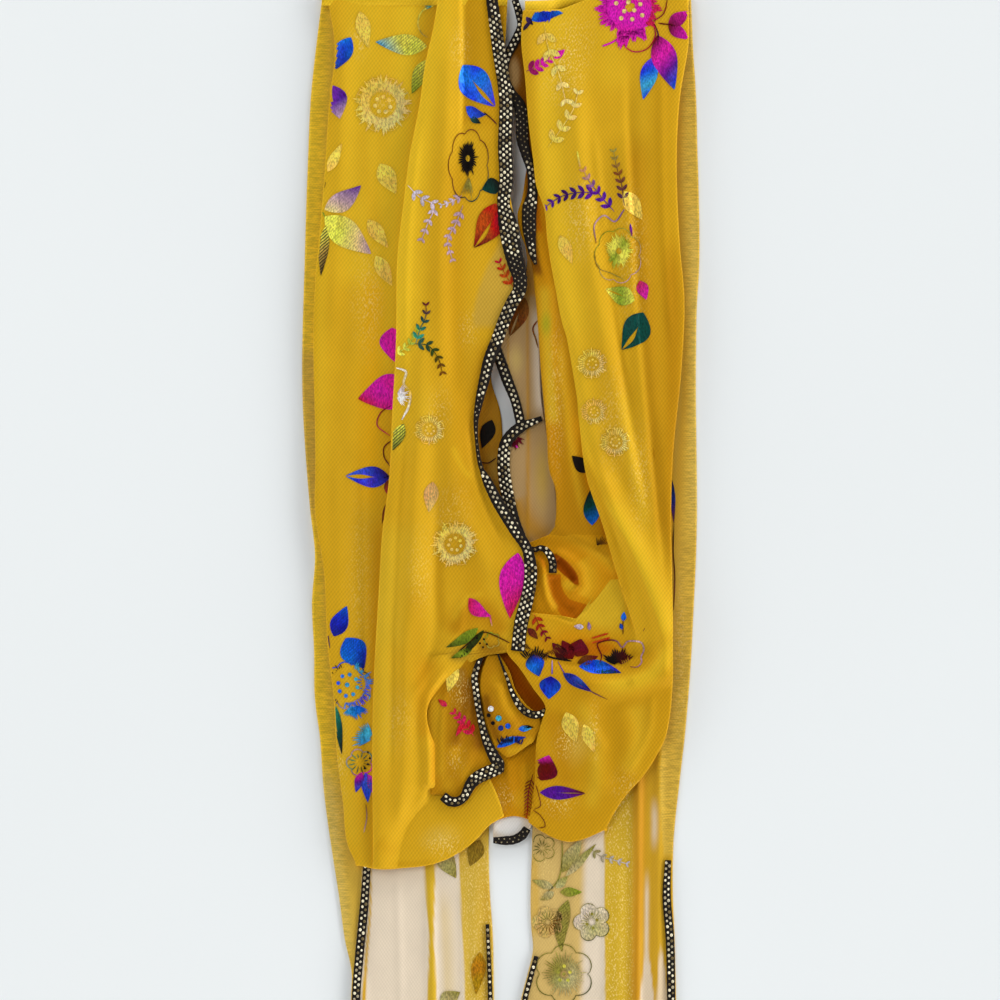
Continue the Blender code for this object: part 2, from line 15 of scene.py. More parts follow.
import bpy
import numpy as np
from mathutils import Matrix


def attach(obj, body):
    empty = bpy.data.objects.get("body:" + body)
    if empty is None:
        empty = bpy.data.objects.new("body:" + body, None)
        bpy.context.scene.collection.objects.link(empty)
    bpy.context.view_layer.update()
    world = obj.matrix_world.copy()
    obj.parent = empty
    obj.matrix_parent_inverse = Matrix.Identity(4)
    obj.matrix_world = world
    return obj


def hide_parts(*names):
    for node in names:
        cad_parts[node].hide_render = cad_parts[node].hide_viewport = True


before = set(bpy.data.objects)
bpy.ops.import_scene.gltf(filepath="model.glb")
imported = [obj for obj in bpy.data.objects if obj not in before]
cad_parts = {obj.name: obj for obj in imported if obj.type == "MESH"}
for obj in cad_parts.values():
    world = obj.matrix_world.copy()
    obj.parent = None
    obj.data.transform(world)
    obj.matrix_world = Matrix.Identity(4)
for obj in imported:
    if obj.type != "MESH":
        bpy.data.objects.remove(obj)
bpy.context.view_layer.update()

LOG = logging.getLogger("net_scarf")
MM = 0.001
CENTRE_X = 0.4
CENTRE_DOWN = 280.6
NET_WALL = 0.35
"""Thickness of the net."""
SKIN = 0.75
"""Height of the net's upper side over the underside of its solid."""
FILM = 0.2
"""How far foil lies over the net, so that folds never cover it."""
MARK_STEP, FOIL_STEP = 9.0, 0.7
"""How finely the line of a painted mark and that of a print are followed."""
TURN_POINTS = 8
"""Points over the half circle of a turned edge, with its start."""
FLAT, ON_TAILS, MIDDLE, UNDER, TURNED, FRONT = 0.0, 1.3, 2.6, 3.9, 5.2, 6.5
"""Undersides of the levels of the stack, from the surface up to the front panels."""

Array = np.ndarray
Socket = bpy.types.NodeSocket
Piece = bpy.types.Object
Pair = tuple[float, float]
Triple = tuple[float, float, float]
Rows = tuple[Pair, ...]
"""A table of a side edge (down, x), a rim (share across, down), a height (down, z) or a line (x, down)."""


class Dye(Enum):
    """Colours of the net, of the foil and of the braid, as display values. SUN, LIT and HONEY also serve as
    painted highlights on the net's folds, and DEEP, DUSK, AMBER, EMBER and RUST as painted shade, besides the
    net's own tones where its layers lie over each other.
    """

    SUN = (226, 185, 38)
    LIT = (217, 176, 36)
    OCHRE = (206, 159, 29)
    HONEY = (208, 169, 38)
    DEEP = (193, 143, 20)
    DUSK = (178, 124, 15)
    AMBER = (196, 134, 14)
    EMBER = (176, 96, 6)
    RUST = (150, 68, 2)
    UMBER = (112, 62, 10)
    BAND = (203, 165, 58)
    PALE_BAND = (212, 181, 84)
    CREAM = (227, 211, 187)
    SAND = (214, 184, 104)
    BEIGE = (176, 142, 92)
    ASH = (184, 152, 66)
    GHOST = (242, 205, 82)
    BLUSH = (214, 172, 96)
    WHITE = (242, 240, 236)
    SILVER = (208, 200, 214)
    LILAC = (196, 160, 176)
    PALE_PINK = (212, 158, 96)
    BLUE = (20, 92, 226)
    DEEP_BLUE = (22, 38, 140)
    CYAN = (66, 176, 214)
    TEAL = (8, 70, 62)
    SEA = (40, 140, 110)
    LIME = (240, 232, 84)
    LEAF = (138, 158, 34)
    DARK_LEAF = (60, 74, 16)
    MAGENTA = (226, 30, 176)
    ROSE = (206, 30, 70)
    GLINT = (240, 214, 128)
    KHAKI = (150, 118, 32)
    GOLD = (224, 166, 22)
    RED = (190, 42, 14)
    MAROON = (104, 10, 22)
    PURPLE = (88, 24, 150)
    PLUM = (52, 16, 84)
    VIOLET = (70, 60, 226)
    INK = (24, 18, 14)
    BROWN = (128, 70, 14)
    OLIVE = (160, 148, 62)
    PALE_OLIVE = (204, 190, 132)
    # studs run from STUD_DIM to STUD; the spread is partly painted glint and painted shade
    STUD = (250, 240, 206)
    STUD_DIM = (120, 102, 62)

    def linear(self) -> Array:
        """The colour as the shaders count it."""
        shown = np.array(self.value, float) / 255
        return np.where(shown <= 0.04045, shown / 12.92, ((shown + 0.055) / 1.055) ** 2.4)


Dyes = Dye | tuple[Dye, ...]
"""One dye all over, or a run of dyes from one end to the other."""


class Hold(Enum):
    """How a stretch of net is held."""

    FOLDED = "folded"
    GATHERED = "gathered"


class Slot(Enum):
    """The record's material slots."""

    YELLOW = "net_yellow"
    ORANGE = "net_orange"
    CREAM = "net_cream"
    BRAID = "braid"


def ramp(value: Array) -> Array:
    """Eases from 0 to 1: 3t^2 - 2t^3, with t held between 0 and 1."""
    t = np.clip(value, 0.0, 1.0)
    return t * t * (3 - 2 * t)


def smooth(at: Array, known: Array, values: Array) -> Array:
    """A smooth curve through known values.

    Between two rows it is the cubic with the rows' values and with slopes taken from their neighbours.

    Args:
        at: places to read the curve at.
        known: the rows' places, rising.
        values: the rows' values.

    Returns:
        The curve's values.
    """
    known, values = np.asarray(known, float), np.asarray(values, float)
    at = np.clip(np.asarray(at, float), known[0], known[-1])
    slopes = np.gradient(values, known)
    row = np.clip(np.searchsorted(known, at, side="right") - 1, 0, len(known) - 2)
    span = known[row + 1] - known[row]
    t = (at - known[row]) / span
    return (values[row] * (1 + 2 * t) * (1 - t) ** 2 + slopes[row] * span * t * (1 - t) ** 2
            + values[row + 1] * t * t * (3 - 2 * t) - slopes[row + 1] * span * t * t * (1 - t))


def edge_x(edge: Rows, down: Array) -> Array:
    """x of a side edge at each distance down, on a smooth curve through its rows."""
    rows = np.array(edge, float)
    return smooth(down, rows[:, 0], rows[:, 1])


def path_through(line: Rows, spacing: float) -> tuple[Array, Array]:
    """A smooth path through the places of a line.

    Args:
        line: places as (x, down).
        spacing: distance between the path's points.

    Returns:
        The points (n, 2) and the distance from the start to each.
    """
    knots = np.array(line, float)
    reached = np.concatenate([[0.0], np.cumsum(np.hypot(*np.diff(knots, axis=0).T))])
    count = max(2, int(math.ceil(reached[-1] / spacing)) + 1)
    at = np.linspace(0, reached[-1], count)
    points = np.stack([smooth(at, reached, knots[:, 0]), smooth(at, reached, knots[:, 1])], axis=1)
    return points, at


def sideways(points: Array) -> Array:
    """Unit vectors across a path: its direction turned by a quarter, towards larger x where it runs down."""
    ahead = np.gradient(points, axis=0)
    ahead /= np.maximum(np.hypot(ahead[:, 0], ahead[:, 1]), 1e-9)[:, None]
    return np.stack([ahead[:, 1], -ahead[:, 0]], axis=1)


def offset_along(x: Array, down: Array, line: Rows) -> tuple[Array, Array, Array]:
    """Distance from each place to a line, with its side and the share of the line's length there.

    On each straight stretch the nearest place is the foot of the perpendicular, held within the stretch.

    Args:
        x: places across.
        down: places down.
        line: the line's places as (x, down).

    Returns:
        The distance, the side (1 towards larger x of a line that runs down, else -1) and the share.
    """
    points, _ = path_through(line, MARK_STEP)
    steps = np.hypot(*np.diff(points, axis=0).T)
    begun = np.concatenate([[0.0], np.cumsum(steps)])
    nearest, side, share = np.full(x.shape, np.inf), np.ones(x.shape), np.zeros(x.shape)
    for start, end, done, length in zip(points, points[1:], begun, steps):
        step = (end - start) / length
        t = np.clip((x - start[0]) * step[0] + (down - start[1]) * step[1], 0, length)
        off_x, off_down = x - start[0] - t * step[0], down - start[1] - t * step[1]
        apart = np.hypot(off_x, off_down)
        closer = apart < nearest
        nearest = np.where(closer, apart, nearest)
        side = np.where(closer, np.where(step[1] * off_x - step[0] * off_down >= 0, 1.0, -1.0), side)
        share = np.where(closer, (done + t) / begun[-1], share)
    return nearest, side, share


def to_world(x: Array, down: Array, z: Array) -> Array:
    """Places in the frame of the solids, in metres."""
    return np.stack([(x - CENTRE_X) * MM, (CENTRE_DOWN - down) * MM, z * MM + 0 * x], axis=-1)


@dataclass(frozen=True)
class Streak:
    """A line with a bell-shaped section: exp(-(distance / width)^2), each side with its own width.

    The line holds places as (x, down). ends is the share of its length over which each end fades.
    """

    amount: float
    left: float
    right: float
    line: Rows
    dye: Dye = Dye.OCHRE
    ends: float = 0.16

    def mask(self, x: Array, down: Array) -> Array:
        """Its strength at each place."""
        apart, side, share = offset_along(x, down, self.line)
        width = np.where(side > 0, self.right, self.left)
        faded = ramp(share / self.ends) * ramp((1 - share) / self.ends)
        return self.amount * np.exp(-((apart / width) ** 2)) * faded


@dataclass(frozen=True)
class Strip:
    """Everything between two side edges, each a table of (down, x), with a soft change at each."""

    amount: float
    left: Rows
    right: Rows
    dye: Dye = Dye.OCHRE
    soft: float = 0.8
    fade: float = 5.0

    def mask(self, x: Array, down: Array) -> Array:
        """Its strength at each place."""
        first, last = self.left[0][0], self.left[-1][0]
        across = ramp((x - edge_x(self.left, down)) / self.soft + 0.5) * ramp(
            (edge_x(self.right, down) - x) / self.soft + 0.5)
        return self.amount * across * ramp((down - first) / self.fade) * ramp((last - down) / self.fade)


@dataclass(frozen=True)
class Cloud:
    """A soft oval: full inside core, the share of its half axes, and nothing past them."""

    amount: float
    x: float
    down: float
    wide: float
    tall: float
    dye: Dye = Dye.OCHRE
    turn: float = 0.0
    core: float = 0.0

    def mask(self, x: Array, down: Array) -> Array:
        """Its strength at each place."""
        angle = math.radians(self.turn)
        off_x, off_down = x - self.x, down - self.down
        along = off_x * math.cos(angle) + off_down * math.sin(angle)
        aside = off_down * math.cos(angle) - off_x * math.sin(angle)
        return self.amount * ramp((1 - np.hypot(along / self.wide, aside / self.tall)) / (1 - self.core))


Mark = Streak | Strip | Cloud


class Nodes:
    """Builds one material's nodes, so that each finish reads as a short list."""

    def __init__(self, owner: bpy.types.Material | bpy.types.World) -> None:
        """The nodes of a material or of the world, with its shader."""
        self.owner = owner
        owner.use_nodes = True
        self.tree = owner.node_tree
        self.shader = self.tree.nodes.get("Principled BSDF") or self.tree.nodes["Background"]

    def link(self, source: Socket, target: Socket) -> None:
        """Joins an output to an input."""
        self.tree.links.new(source, target)

    def attribute(self, name: str) -> bpy.types.Node:
        """Reads a named attribute of the mesh."""
        node = self.tree.nodes.new("ShaderNodeAttribute")
        node.attribute_name = name
        return node

    def placed(self, scale: Triple, turn: float = 0.0) -> Socket:
        """Object coordinates, scaled and then turned about z."""
        coordinates = self.tree.nodes.new("ShaderNodeTexCoord")
        mapping = self.tree.nodes.new("ShaderNodeMapping")
        mapping.inputs["Rotation"].default_value[2] = math.radians(turn)
        mapping.inputs["Scale"].default_value = scale
        self.link(coordinates.outputs["Object"], mapping.inputs["Vector"])
        return mapping.outputs["Vector"]

    def wave(self, period: float, turn: float, distortion: float = 0.0) -> Socket:
        """Parallel threads, period metres apart; the texture repeats each 2 pi / 20 of its own units."""
        size = 2 * math.pi / 20 / period
        node = self.tree.nodes.new("ShaderNodeTexWave")
        node.inputs["Scale"].default_value = 1.0
        node.inputs["Distortion"].default_value = distortion
        coordinates = self.tree.nodes.new("ShaderNodeTexCoord")
        turned = self.tree.nodes.new("ShaderNodeVectorRotate")
        turned.rotation_type = "Z_AXIS"
        turned.inputs["Angle"].default_value = math.radians(turn)
        scaled = self.tree.nodes.new("ShaderNodeVectorMath")
        scaled.operation = "SCALE"
        scaled.inputs["Scale"].default_value = size
        self.link(coordinates.outputs["Object"], turned.inputs["Vector"])
        self.link(turned.outputs["Vector"], scaled.inputs[0])
        self.link(scaled.outputs["Vector"], node.inputs["Vector"])
        return node.outputs["Fac"]

    def noise(self, scale: Triple, turn: float = 0.0, detail: float = 2.0) -> Socket:
        """Soft noise whose grain is 1 / scale metres on each axis."""
        node = self.tree.nodes.new("ShaderNodeTexNoise")
        node.inputs["Scale"].default_value = 1.0
        node.inputs["Detail"].default_value = detail
        self.link(self.placed(scale, turn), node.inputs["Vector"])
        return node.outputs["Fac"]

    def span(self, value: Socket, low: float, high: float, to_low: float, to_high: float) -> Socket:
        """Carries low..high to to_low..to_high, held at both ends."""
        node = self.tree.nodes.new("ShaderNodeMapRange")
        self.link(value, node.inputs["Value"])
        for name, number in zip(("From Min", "From Max", "To Min", "To Max"), (low, high, to_low, to_high)):
            node.inputs[name].default_value = number
        return node.outputs["Result"]

    def maths(self, operation: str, first: Socket, second: Socket | float) -> Socket:
        """One sum on two values."""
        node = self.tree.nodes.new("ShaderNodeMath")
        node.operation = operation
        self.link(first, node.inputs[0])
        if isinstance(second, float):
            node.inputs[1].default_value = second
        else:
            self.link(second, node.inputs[1])
        return node.outputs["Value"]

    def dim(self, colour: Socket, factor: Socket) -> Socket:
        """A colour times a value."""
        node = self.tree.nodes.new("ShaderNodeVectorMath")
        node.operation = "SCALE"
        self.link(colour, node.inputs[0])
        self.link(factor, node.inputs["Scale"])
        return node.outputs["Vector"]

    def blend(self, factor: Socket, first: Socket, second: Dye) -> Socket:
        """The first colour, changed to the second by a factor."""
        node = self.tree.nodes.new("ShaderNodeMix")
        node.data_type = "RGBA"
        self.link(factor, node.inputs["Factor"])
        self.link(first, node.inputs["A"])
        node.inputs["B"].default_value = (*second.linear(), 1.0)
        return node.outputs["Result"]

    def bump(self, height: Socket, distance: float, strength: float) -> None:
        """Fine relief on the shader."""
        node = self.tree.nodes.new("ShaderNodeBump")
        node.inputs["Distance"].default_value = distance
        node.inputs["Strength"].default_value = strength
        self.link(height, node.inputs["Height"])
        self.link(node.outputs["Normal"], self.shader.inputs["Normal"])

    def painted(self, tone: Socket) -> None:
        """The mesh's Tint times a tone as the shader's colour."""
        self.link(self.dim(self.attribute("Tint").outputs["Color"], tone), self.shader.inputs["Base Color"])

    def constant(self, **values: float | tuple) -> None:
        """Numbers and colours that are the same all over, on the shader's own sockets."""
        for name, number in values.items():
            self.shader.inputs[name.replace("_", " ")].default_value = number


@dataclass(frozen=True)
class NetFinish:
    """Sheer net of crossing threads, painted by the mesh's Tint, with gold flecks and shirring by Marks. The
    flecks are foil behind the net, painted into the colour as bright glints.

    Marks holds the flecks' strength in red and the shirring's in green. mottle, shirr and fleck are the
    grains of three noises, in 1 / metres on each axis.
    """

    name: str
    gleam: Dye
    thread: float = 0.0014
    contrast: float = 0.13
    roughness: float = 0.6
    slants: Pair = (38.0, -33.0)
    mottle: Triple = (70, 45, 60)
    shirr: Triple = (240, 1500, 300)
    fleck: Triple = (1500, 850, 900)
    relief: float = 0.00022

    def make(self) -> bpy.types.Material:
        """The material, its threads two crossing waves over soft mottling."""
        n = Nodes(bpy.data.materials.new(self.name))
        marks = n.tree.nodes.new("ShaderNodeSeparateColor")
        n.link(n.attribute("Marks").outputs["Color"], marks.inputs["Color"])
        first = n.wave(self.thread, self.slants[0], 0.4)
        second = n.wave(self.thread * 1.07, self.slants[1], 0.4)
        threads = n.maths("ADD", n.maths("MULTIPLY", first, 0.65), n.maths("MULTIPLY", second, 0.35))
        weave = n.span(threads, 0.0, 1.0, 1 - self.contrast, 1 + self.contrast)
        mottle = n.span(n.noise(self.mottle, detail=3.0), 0.25, 0.75, 0.955, 1.045)
        colour = n.dim(n.attribute("Tint").outputs["Color"], n.maths("MULTIPLY", weave, mottle))
        shirr = n.span(n.noise(self.shirr), 0.36, 0.66, -0.16, 0.22)
        shirred = n.maths("ADD", n.maths("MULTIPLY", shirr, marks.outputs["Green"]), 1.0)
        colour = n.dim(colour, shirred)
        # painted glints: pale gold specks mixed into the colour where foil lies behind the net
        fleck = n.span(n.noise(self.fleck, 40.0, 3.0), 0.54, 0.64, 0.0, 1.0)
        colour = n.blend(n.maths("MULTIPLY", fleck, marks.outputs["Red"]), colour, Dye.GLINT)
        n.link(colour, n.shader.inputs["Base Color"])
        raised = n.maths("ADD", threads, n.maths("MULTIPLY", shirr, marks.outputs["Green"]))
        n.bump(raised, self.relief, 0.35)
        gleam = (*self.gleam.linear(), 1.0)
        n.constant(Roughness=self.roughness, Specular_IOR_Level=0.3, Specular_Tint=gleam, Sheen_Weight=0.08,
                   Sheen_Roughness=0.5, Sheen_Tint=gleam)
        return n.owner


@dataclass(frozen=True)
class FoilFinish:
    """Iridescent foil pressed on net: the mesh's Tint, broken by the threads, with dark veins by Veins."""

    name: str
    metallic: float = 0.4
    roughness: float = 0.36
    glitter: Triple = (1500, 700, 900)
    drift: Triple = (120, 90, 80)
    vein: float = 0.0012

    def make(self) -> bpy.types.Material:
        """The material: a hue that drifts over soft noise, fine slanted glitter that is painted sparkle in the
        colour itself, and veins by a wave.
        """
        n = Nodes(bpy.data.materials.new(self.name))
        # partly the foil's broken grain, partly painted sparkle: the glitter lightens and darkens the colour
        # itself, and also drives the bump
        glitter = n.span(n.noise(self.glitter, 35.0, 2.0), 0.34, 0.68, 0.68, 1.5)
        turned = n.tree.nodes.new("ShaderNodeHueSaturation")
        n.link(n.span(n.noise(self.drift, 20.0, 1.0), 0.32, 0.68, 0.485, 0.515), turned.inputs["Hue"])
        n.link(n.attribute("Tint").outputs["Color"], turned.inputs["Color"])
        colour = n.dim(turned.outputs["Color"], glitter)
        lines = n.span(n.wave(self.vein, 48.0, 1.5), 0.45, 0.75, 0.0, 1.0)
        colour = n.blend(n.maths("MULTIPLY", lines, n.attribute("Veins").outputs["Fac"]), colour, Dye.INK)
        n.link(colour, n.shader.inputs["Base Color"])
        n.bump(glitter, 0.00012, 0.3)
        n.constant(Roughness=self.roughness, Metallic=self.metallic, Specular_IOR_Level=0.25)
        return n.owner


@dataclass(frozen=True)
class BraidFinish:
    """Flat woven black braid."""

    name: str
    thread: float = 0.0007

    def make(self) -> bpy.types.Material:
        """The material, two crossing waves of thread over a near black ground."""
        n = Nodes(bpy.data.materials.new(self.name))
        threads = n.maths("MULTIPLY", n.wave(self.thread, 45.0), n.wave(self.thread, -45.0))
        tone = n.span(threads, 0.0, 0.6, 0.55, 1.6)
        n.painted(tone)
        n.bump(threads, 0.0003, 0.6)
        n.constant(Roughness=0.6, Specular_IOR_Level=0.12)
        return n.owner


@dataclass(frozen=True)
class StudFinish:
    """Pale gold studs, each with its own tone from the mesh's Tint."""

    name: str

    def make(self) -> bpy.types.Material:
        """The material, lightly mottled metal."""
        n = Nodes(bpy.data.materials.new(self.name))
        tone = n.span(n.noise((1400, 1400, 1400), detail=1.0), 0.3, 0.7, 0.85, 1.12)
        n.painted(tone)
        n.constant(Roughness=0.34, Metallic=0.45)
        return n.owner


class Wardrobe:
    """The finishes, each made once."""

    def __init__(self) -> None:
        """Makes every material."""
        self.net = {
            Slot.YELLOW: NetFinish("yellow_net", Dye.SUN).make(),
            Slot.ORANGE: NetFinish("orange_net", Dye.OCHRE, contrast=0.14).make(),
            Slot.CREAM: NetFinish("cream_net", Dye.CREAM, thread=0.0012, contrast=0.05).make(),
        }
        self.foil = FoilFinish("foil_print").make()
        self.braid = BraidFinish("woven_braid").make()
        self.stud = StudFinish("pale_gold_stud").make()


def write_mesh(name: str, points: Array, faces: list | Array, finish: bpy.types.Material, tint: Array,
               flat_from: int | None = None, **more: Array) -> Piece:
    """Puts a piece into the scene, riding on the frame's one body.

    Args:
        name: the piece's name.
        points: places in metres, (n, 3).
        faces: rows of point numbers.
        finish: its material.
        tint: linear colours at the points, (n, 3).
        flat_from: number of the first face that is shaded flat, such as a rim's.
        more: further attributes by name, (n,) or (n, 3).

    Returns:
        The new object.
    """
    mesh = bpy.data.meshes.new(name)
    mesh.from_pydata(points, [], faces)
    soft = np.ones(len(mesh.polygons), bool)
    if flat_from is not None:
        soft[flat_from:] = False
    mesh.polygons.foreach_set("use_smooth", soft)
    for label, values in {"Tint": tint, **more}.items():
        values = np.asarray(values, float)
        if values.ndim == 2:
            attribute = mesh.attributes.new(label, "FLOAT_COLOR", "POINT")
            opaque = np.ones((len(values), 1))
            attribute.data.foreach_set("color", np.concatenate([values, opaque], axis=1).ravel())
        else:
            mesh.attributes.new(label, "FLOAT", "POINT").data.foreach_set("value", values)
    mesh.update()
    made = bpy.data.objects.new(name, mesh)
    made.data.materials.append(finish)
    bpy.context.scene.collection.objects.link(made)
    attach(made, "root")
    LOG.info("%s: %d faces", name, len(mesh.polygons))
    return made


def shell(outer: Array, thickness: float) -> tuple[Array, Array, int]:
    """A closed thin wall under a grid of places.

    The inner side is the outer one moved by the thickness against its normals, which are the cross
    product of the steps down the rows and along the columns.

    Args:
        outer: places in metres, rows by columns by 3.
        thickness: in metres.

    Returns:
        The points, the faces, and the number of the first rim face.
    """
    normal = np.cross(np.gradient(outer, axis=0), np.gradient(outer, axis=1))
    normal /= np.maximum(np.linalg.norm(normal, axis=-1, keepdims=True), 1e-12)
    points = np.concatenate([outer.reshape(-1, 3), (outer - thickness * normal).reshape(-1, 3)])
    rows, columns = outer.shape[:2]
    over = np.arange(rows * columns).reshape(rows, columns)
    under = over + rows * columns

    def quads(*corners: Array) -> Array:
        """Faces from arrays of their four corners."""
        return np.stack(corners, axis=-1).reshape(-1, 4)

    sides = [
        quads(over[:-1, :-1], over[1:, :-1], over[1:, 1:], over[:-1, 1:]),
        quads(under[:-1, 1:], under[1:, 1:], under[1:, :-1], under[:-1, :-1]),
    ]
    rims = [
        quads(over[1:, 0], over[:-1, 0], under[:-1, 0], under[1:, 0]),
        quads(over[:-1, -1], over[1:, -1], under[1:, -1], under[:-1, -1]),
        quads(over[0, :-1], over[0, 1:], under[0, 1:], under[0, :-1]),
        quads(over[-1, 1:], over[-1, :-1], under[-1, :-1], under[-1, 1:]),
    ]
    return points, np.concatenate(sides + rims), sum(len(side) for side in sides)


def marks_between(stretches: Rows, start: float) -> Array:
    """Places from the start through each (end, longest step)."""
    marks = [np.array([start])]
    for end, step in stretches:
        begin = marks[-1][-1]
        marks.append(np.linspace(begin, end, max(1, int(math.ceil((end - begin) / step))) + 1)[1:])
    return np.concatenate(marks)


@dataclass
class Meeting:
    """Where one stretch runs into another, so that no edge shows.

    Inside the mark it takes the other's height, plus a table of (down, z), and that share of its dye.
    """

    other: Net
    mark: Mark
    above: Rows
    dyed: float = 1.0


@dataclass
class Net:
    """One stretch of net: a grid from its left to its right edge and from its top to its bottom rim.

    Its height is the underside of its solid, plus what its turned edges and its folds lift. A turned
    edge goes on round a half circle and lies under itself, as folded cloth does.
    """

    name: str
    slot: Slot
    left: Rows
    right: Rows
    top: Rows
    bottom: Rows
    floor: Rows
    rows: Rows
    columns: Rows
    base: Dye
    flat: Pair
    hold: Hold = Hold.FOLDED
    rests_on: tuple[str, ...] = ()
    area: float | None = None
    rise: Pair = (0.0, 0.0)
    folds: tuple[Streak, ...] = ()
    # the net's own tones, and also painted highlights and painted shade on its folds and hollows
    tones_and_shading: tuple[Mark, ...] = ()
    flecks: tuple[Mark, ...] = ()
    shirring: tuple[Mark, ...] = ()
    meets: tuple[Meeting, ...] = ()
    turn_left: float = 0.0
    turn_right: float = 0.0
    turn_bottom: float = 0.0
    tuck: float = 2.5
    swell_in: float = 2.5
    swell_out: float = 16.0
    thickness: float = NET_WALL

    def height(self, x: Array, down: Array) -> Array:
        """Height of its upper side: floor + skin + the rise of its sides + its folds.

        Each side rises by rise * (1 - e^(-inset / swell_in)) * e^(-inset / swell_out), inset from the side.
        """
        floor = np.array(self.floor, float)
        total = smooth(down, floor[:, 0], floor[:, 1]) + SKIN
        insets = (x - edge_x(self.left, down), edge_x(self.right, down) - x)
        for inset, rise in zip(insets, self.rise):
            inset = np.maximum(inset, 0)
            total = total + rise * (1 - np.exp(-inset / self.swell_in)) * np.exp(-inset / self.swell_out)
        for fold in self.folds:
            total = total + fold.mask(x, down)
        for meeting in self.meets:
            part = meeting.mark.mask(x, down)
            other = meeting.other.height(x, down) + np.interp(down, *np.array(meeting.above, float).T)
            total = total * (1 - part) + other * part
        return total

    def rims(self, x: Array, down: Array) -> tuple[Array, Array, Array]:
        """The share across at each place, and how far down the top and the bottom rim are there."""
        share = (x - edge_x(self.left, down)) / (edge_x(self.right, down) - edge_x(self.left, down))
        top, bottom = np.array(self.top, float), np.array(self.bottom, float)
        return share, np.interp(share, top[:, 0], top[:, 1]), np.interp(share, bottom[:, 0], bottom[:, 1])

    def covers(self, x: Array, down: Array) -> Array:
        """Whether each place lies within its outline."""
        share, first, last = self.rims(x, down)
        return (share >= 0) & (share <= 1) & (down >= first) & (down <= last)

    def grid(self) -> tuple[Array, Array, Array]:
        """x, down and z over the stretch, with its turned edges, rows by columns."""
        top, bottom = np.array(self.top, float), np.array(self.bottom, float)
        marks = marks_between(self.rows, float(top[:, 1].min()))
        share = ((marks - marks[0]) / (marks[-1] - marks[0]))[:, None]
        across = marks_between(self.columns, 0.0)[None, :]
        first = np.interp(across, top[:, 0], top[:, 1])
        last = smooth(across, bottom[:, 0], bottom[:, 1]) - self.turn_bottom
        down = first + (last - first) * share
        low = edge_x(self.left, down) + self.turn_left
        high = edge_x(self.right, down) - self.turn_right
        x = low + (high - low) * across
        z = self.height(x, down)
        half = np.linspace(0, np.pi, TURN_POINTS)[1:]
        for radius, side, direction in ((self.turn_left, 0, -1.0), (self.turn_right, -1, 1.0)):
            if radius:
                out = direction * np.append(radius * np.sin(half), -self.tuck)
                fall = np.append(radius * (1 - np.cos(half)), 2 * radius)
                parts = [x[:, side:][:, :1] + out, down[:, side:][:, :1] + 0 * out,
                    z[:, side:][:, :1] - fall]
                if side == 0:
                    parts = [part[:, ::-1] for part in parts]
                    x, down, z = (np.concatenate([new, old], axis=1) for new,
                        old in zip(parts, (x, down, z)))
                else:
                    x, down, z = (np.concatenate([old, new], axis=1) for new,
                        old in zip(parts, (x, down, z)))
        if self.turn_bottom:
            out = np.append(self.turn_bottom * np.sin(half), -self.tuck)[:, None]
            fall = np.append(self.turn_bottom * (1 - np.cos(half)), 2 * self.turn_bottom)[:, None]
            x = np.concatenate([x, x[-1:] + 0 * out])
            z = np.concatenate([z, z[-1:] - fall])
            down = np.concatenate([down, down[-1:] + out])
        return x, down, z

    def tint(self, x: Array, down: Array) -> Array:
        """The colour at each place: the base, changed towards each mark's dye by that mark's strength. The
        marks hold the net's own tones where layers overlap, and also painted highlights on folds and painted
        shade beside folds and in hollows.
        """
        colour = self.base.linear() * np.ones((*x.shape, 1))
        for mark in self.tones_and_shading:
            part = np.clip(mark.mask(x, down), 0, 1)[..., None]
            colour = colour * (1 - part) + mark.dye.linear() * part
        for meeting in self.meets:
            part = meeting.dyed * meeting.mark.mask(x, down)[..., None]
            colour = colour * (1 - part) + meeting.other.tint(x, down) * part
        return colour

    @staticmethod
    def strength(marks: tuple[Mark, ...], x: Array, down: Array) -> Array:
        """The strongest of some marks at each place."""
        return np.clip(np.max([np.zeros(x.shape), *(mark.mask(x, down) for mark in marks)], axis=0), 0, 1)

    def build(self, wardrobe: Wardrobe) -> Piece:
        """The finished stretch, in place of its solids.

        Args:
            wardrobe: the finishes.

        Returns:
            The piece.
        """
        x, down, z = self.grid()
        points, faces, rim = shell(to_world(x, down, z), self.thickness * MM)
        tint = np.tile(self.tint(x, down).reshape(-1, 3), (2, 1))
        flecks, shirring = self.strength(self.flecks, x, down), self.strength(self.shirring, x, down)
        marks = np.stack([flecks, shirring, 0 * x], axis=-1)
        made = write_mesh(self.name, points, faces, wardrobe.net[self.slot], tint, rim,
                          Marks=np.tile(marks.reshape(-1, 3), (2, 1)))
        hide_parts(self.name.removeprefix("net_"))
        return made

    def declare(self, made: Piece, trims: tuple[Piece, ...] = ()) -> None:
        """Left empty: the size of cloth it was cut from is kept on the stretch but not declared."""


def plain_net(name: str, node: str, wall: tuple[Array, Array, int], dye: Dye, wardrobe: Wardrobe) -> Piece:
    """Unprinted yellow net of one dye.

    Args:
        name: the piece's name.
        node: the solid that it replaces.
        wall: its points, its faces and the number of its first rim face.
        dye: its dye.
        wardrobe: the finishes.

    Returns:
        The piece.
    """
    points, faces, rim = wall
    tint = np.tile(dye.linear(), (len(points), 1))
    made = write_mesh(name, points, faces, wardrobe.net[Slot.YELLOW], tint, rim,
        Marks=np.zeros((len(points), 3)))
    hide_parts(node)
    return made


@dataclass
class Scrap:
    """A bit of foil on a grid: places (n, 2), faces, dye (n, 3), veins (n,) and height over the net (n,)."""

    places: Array
    faces: Array
    dye: Array
    veins: Array
    lift: Array


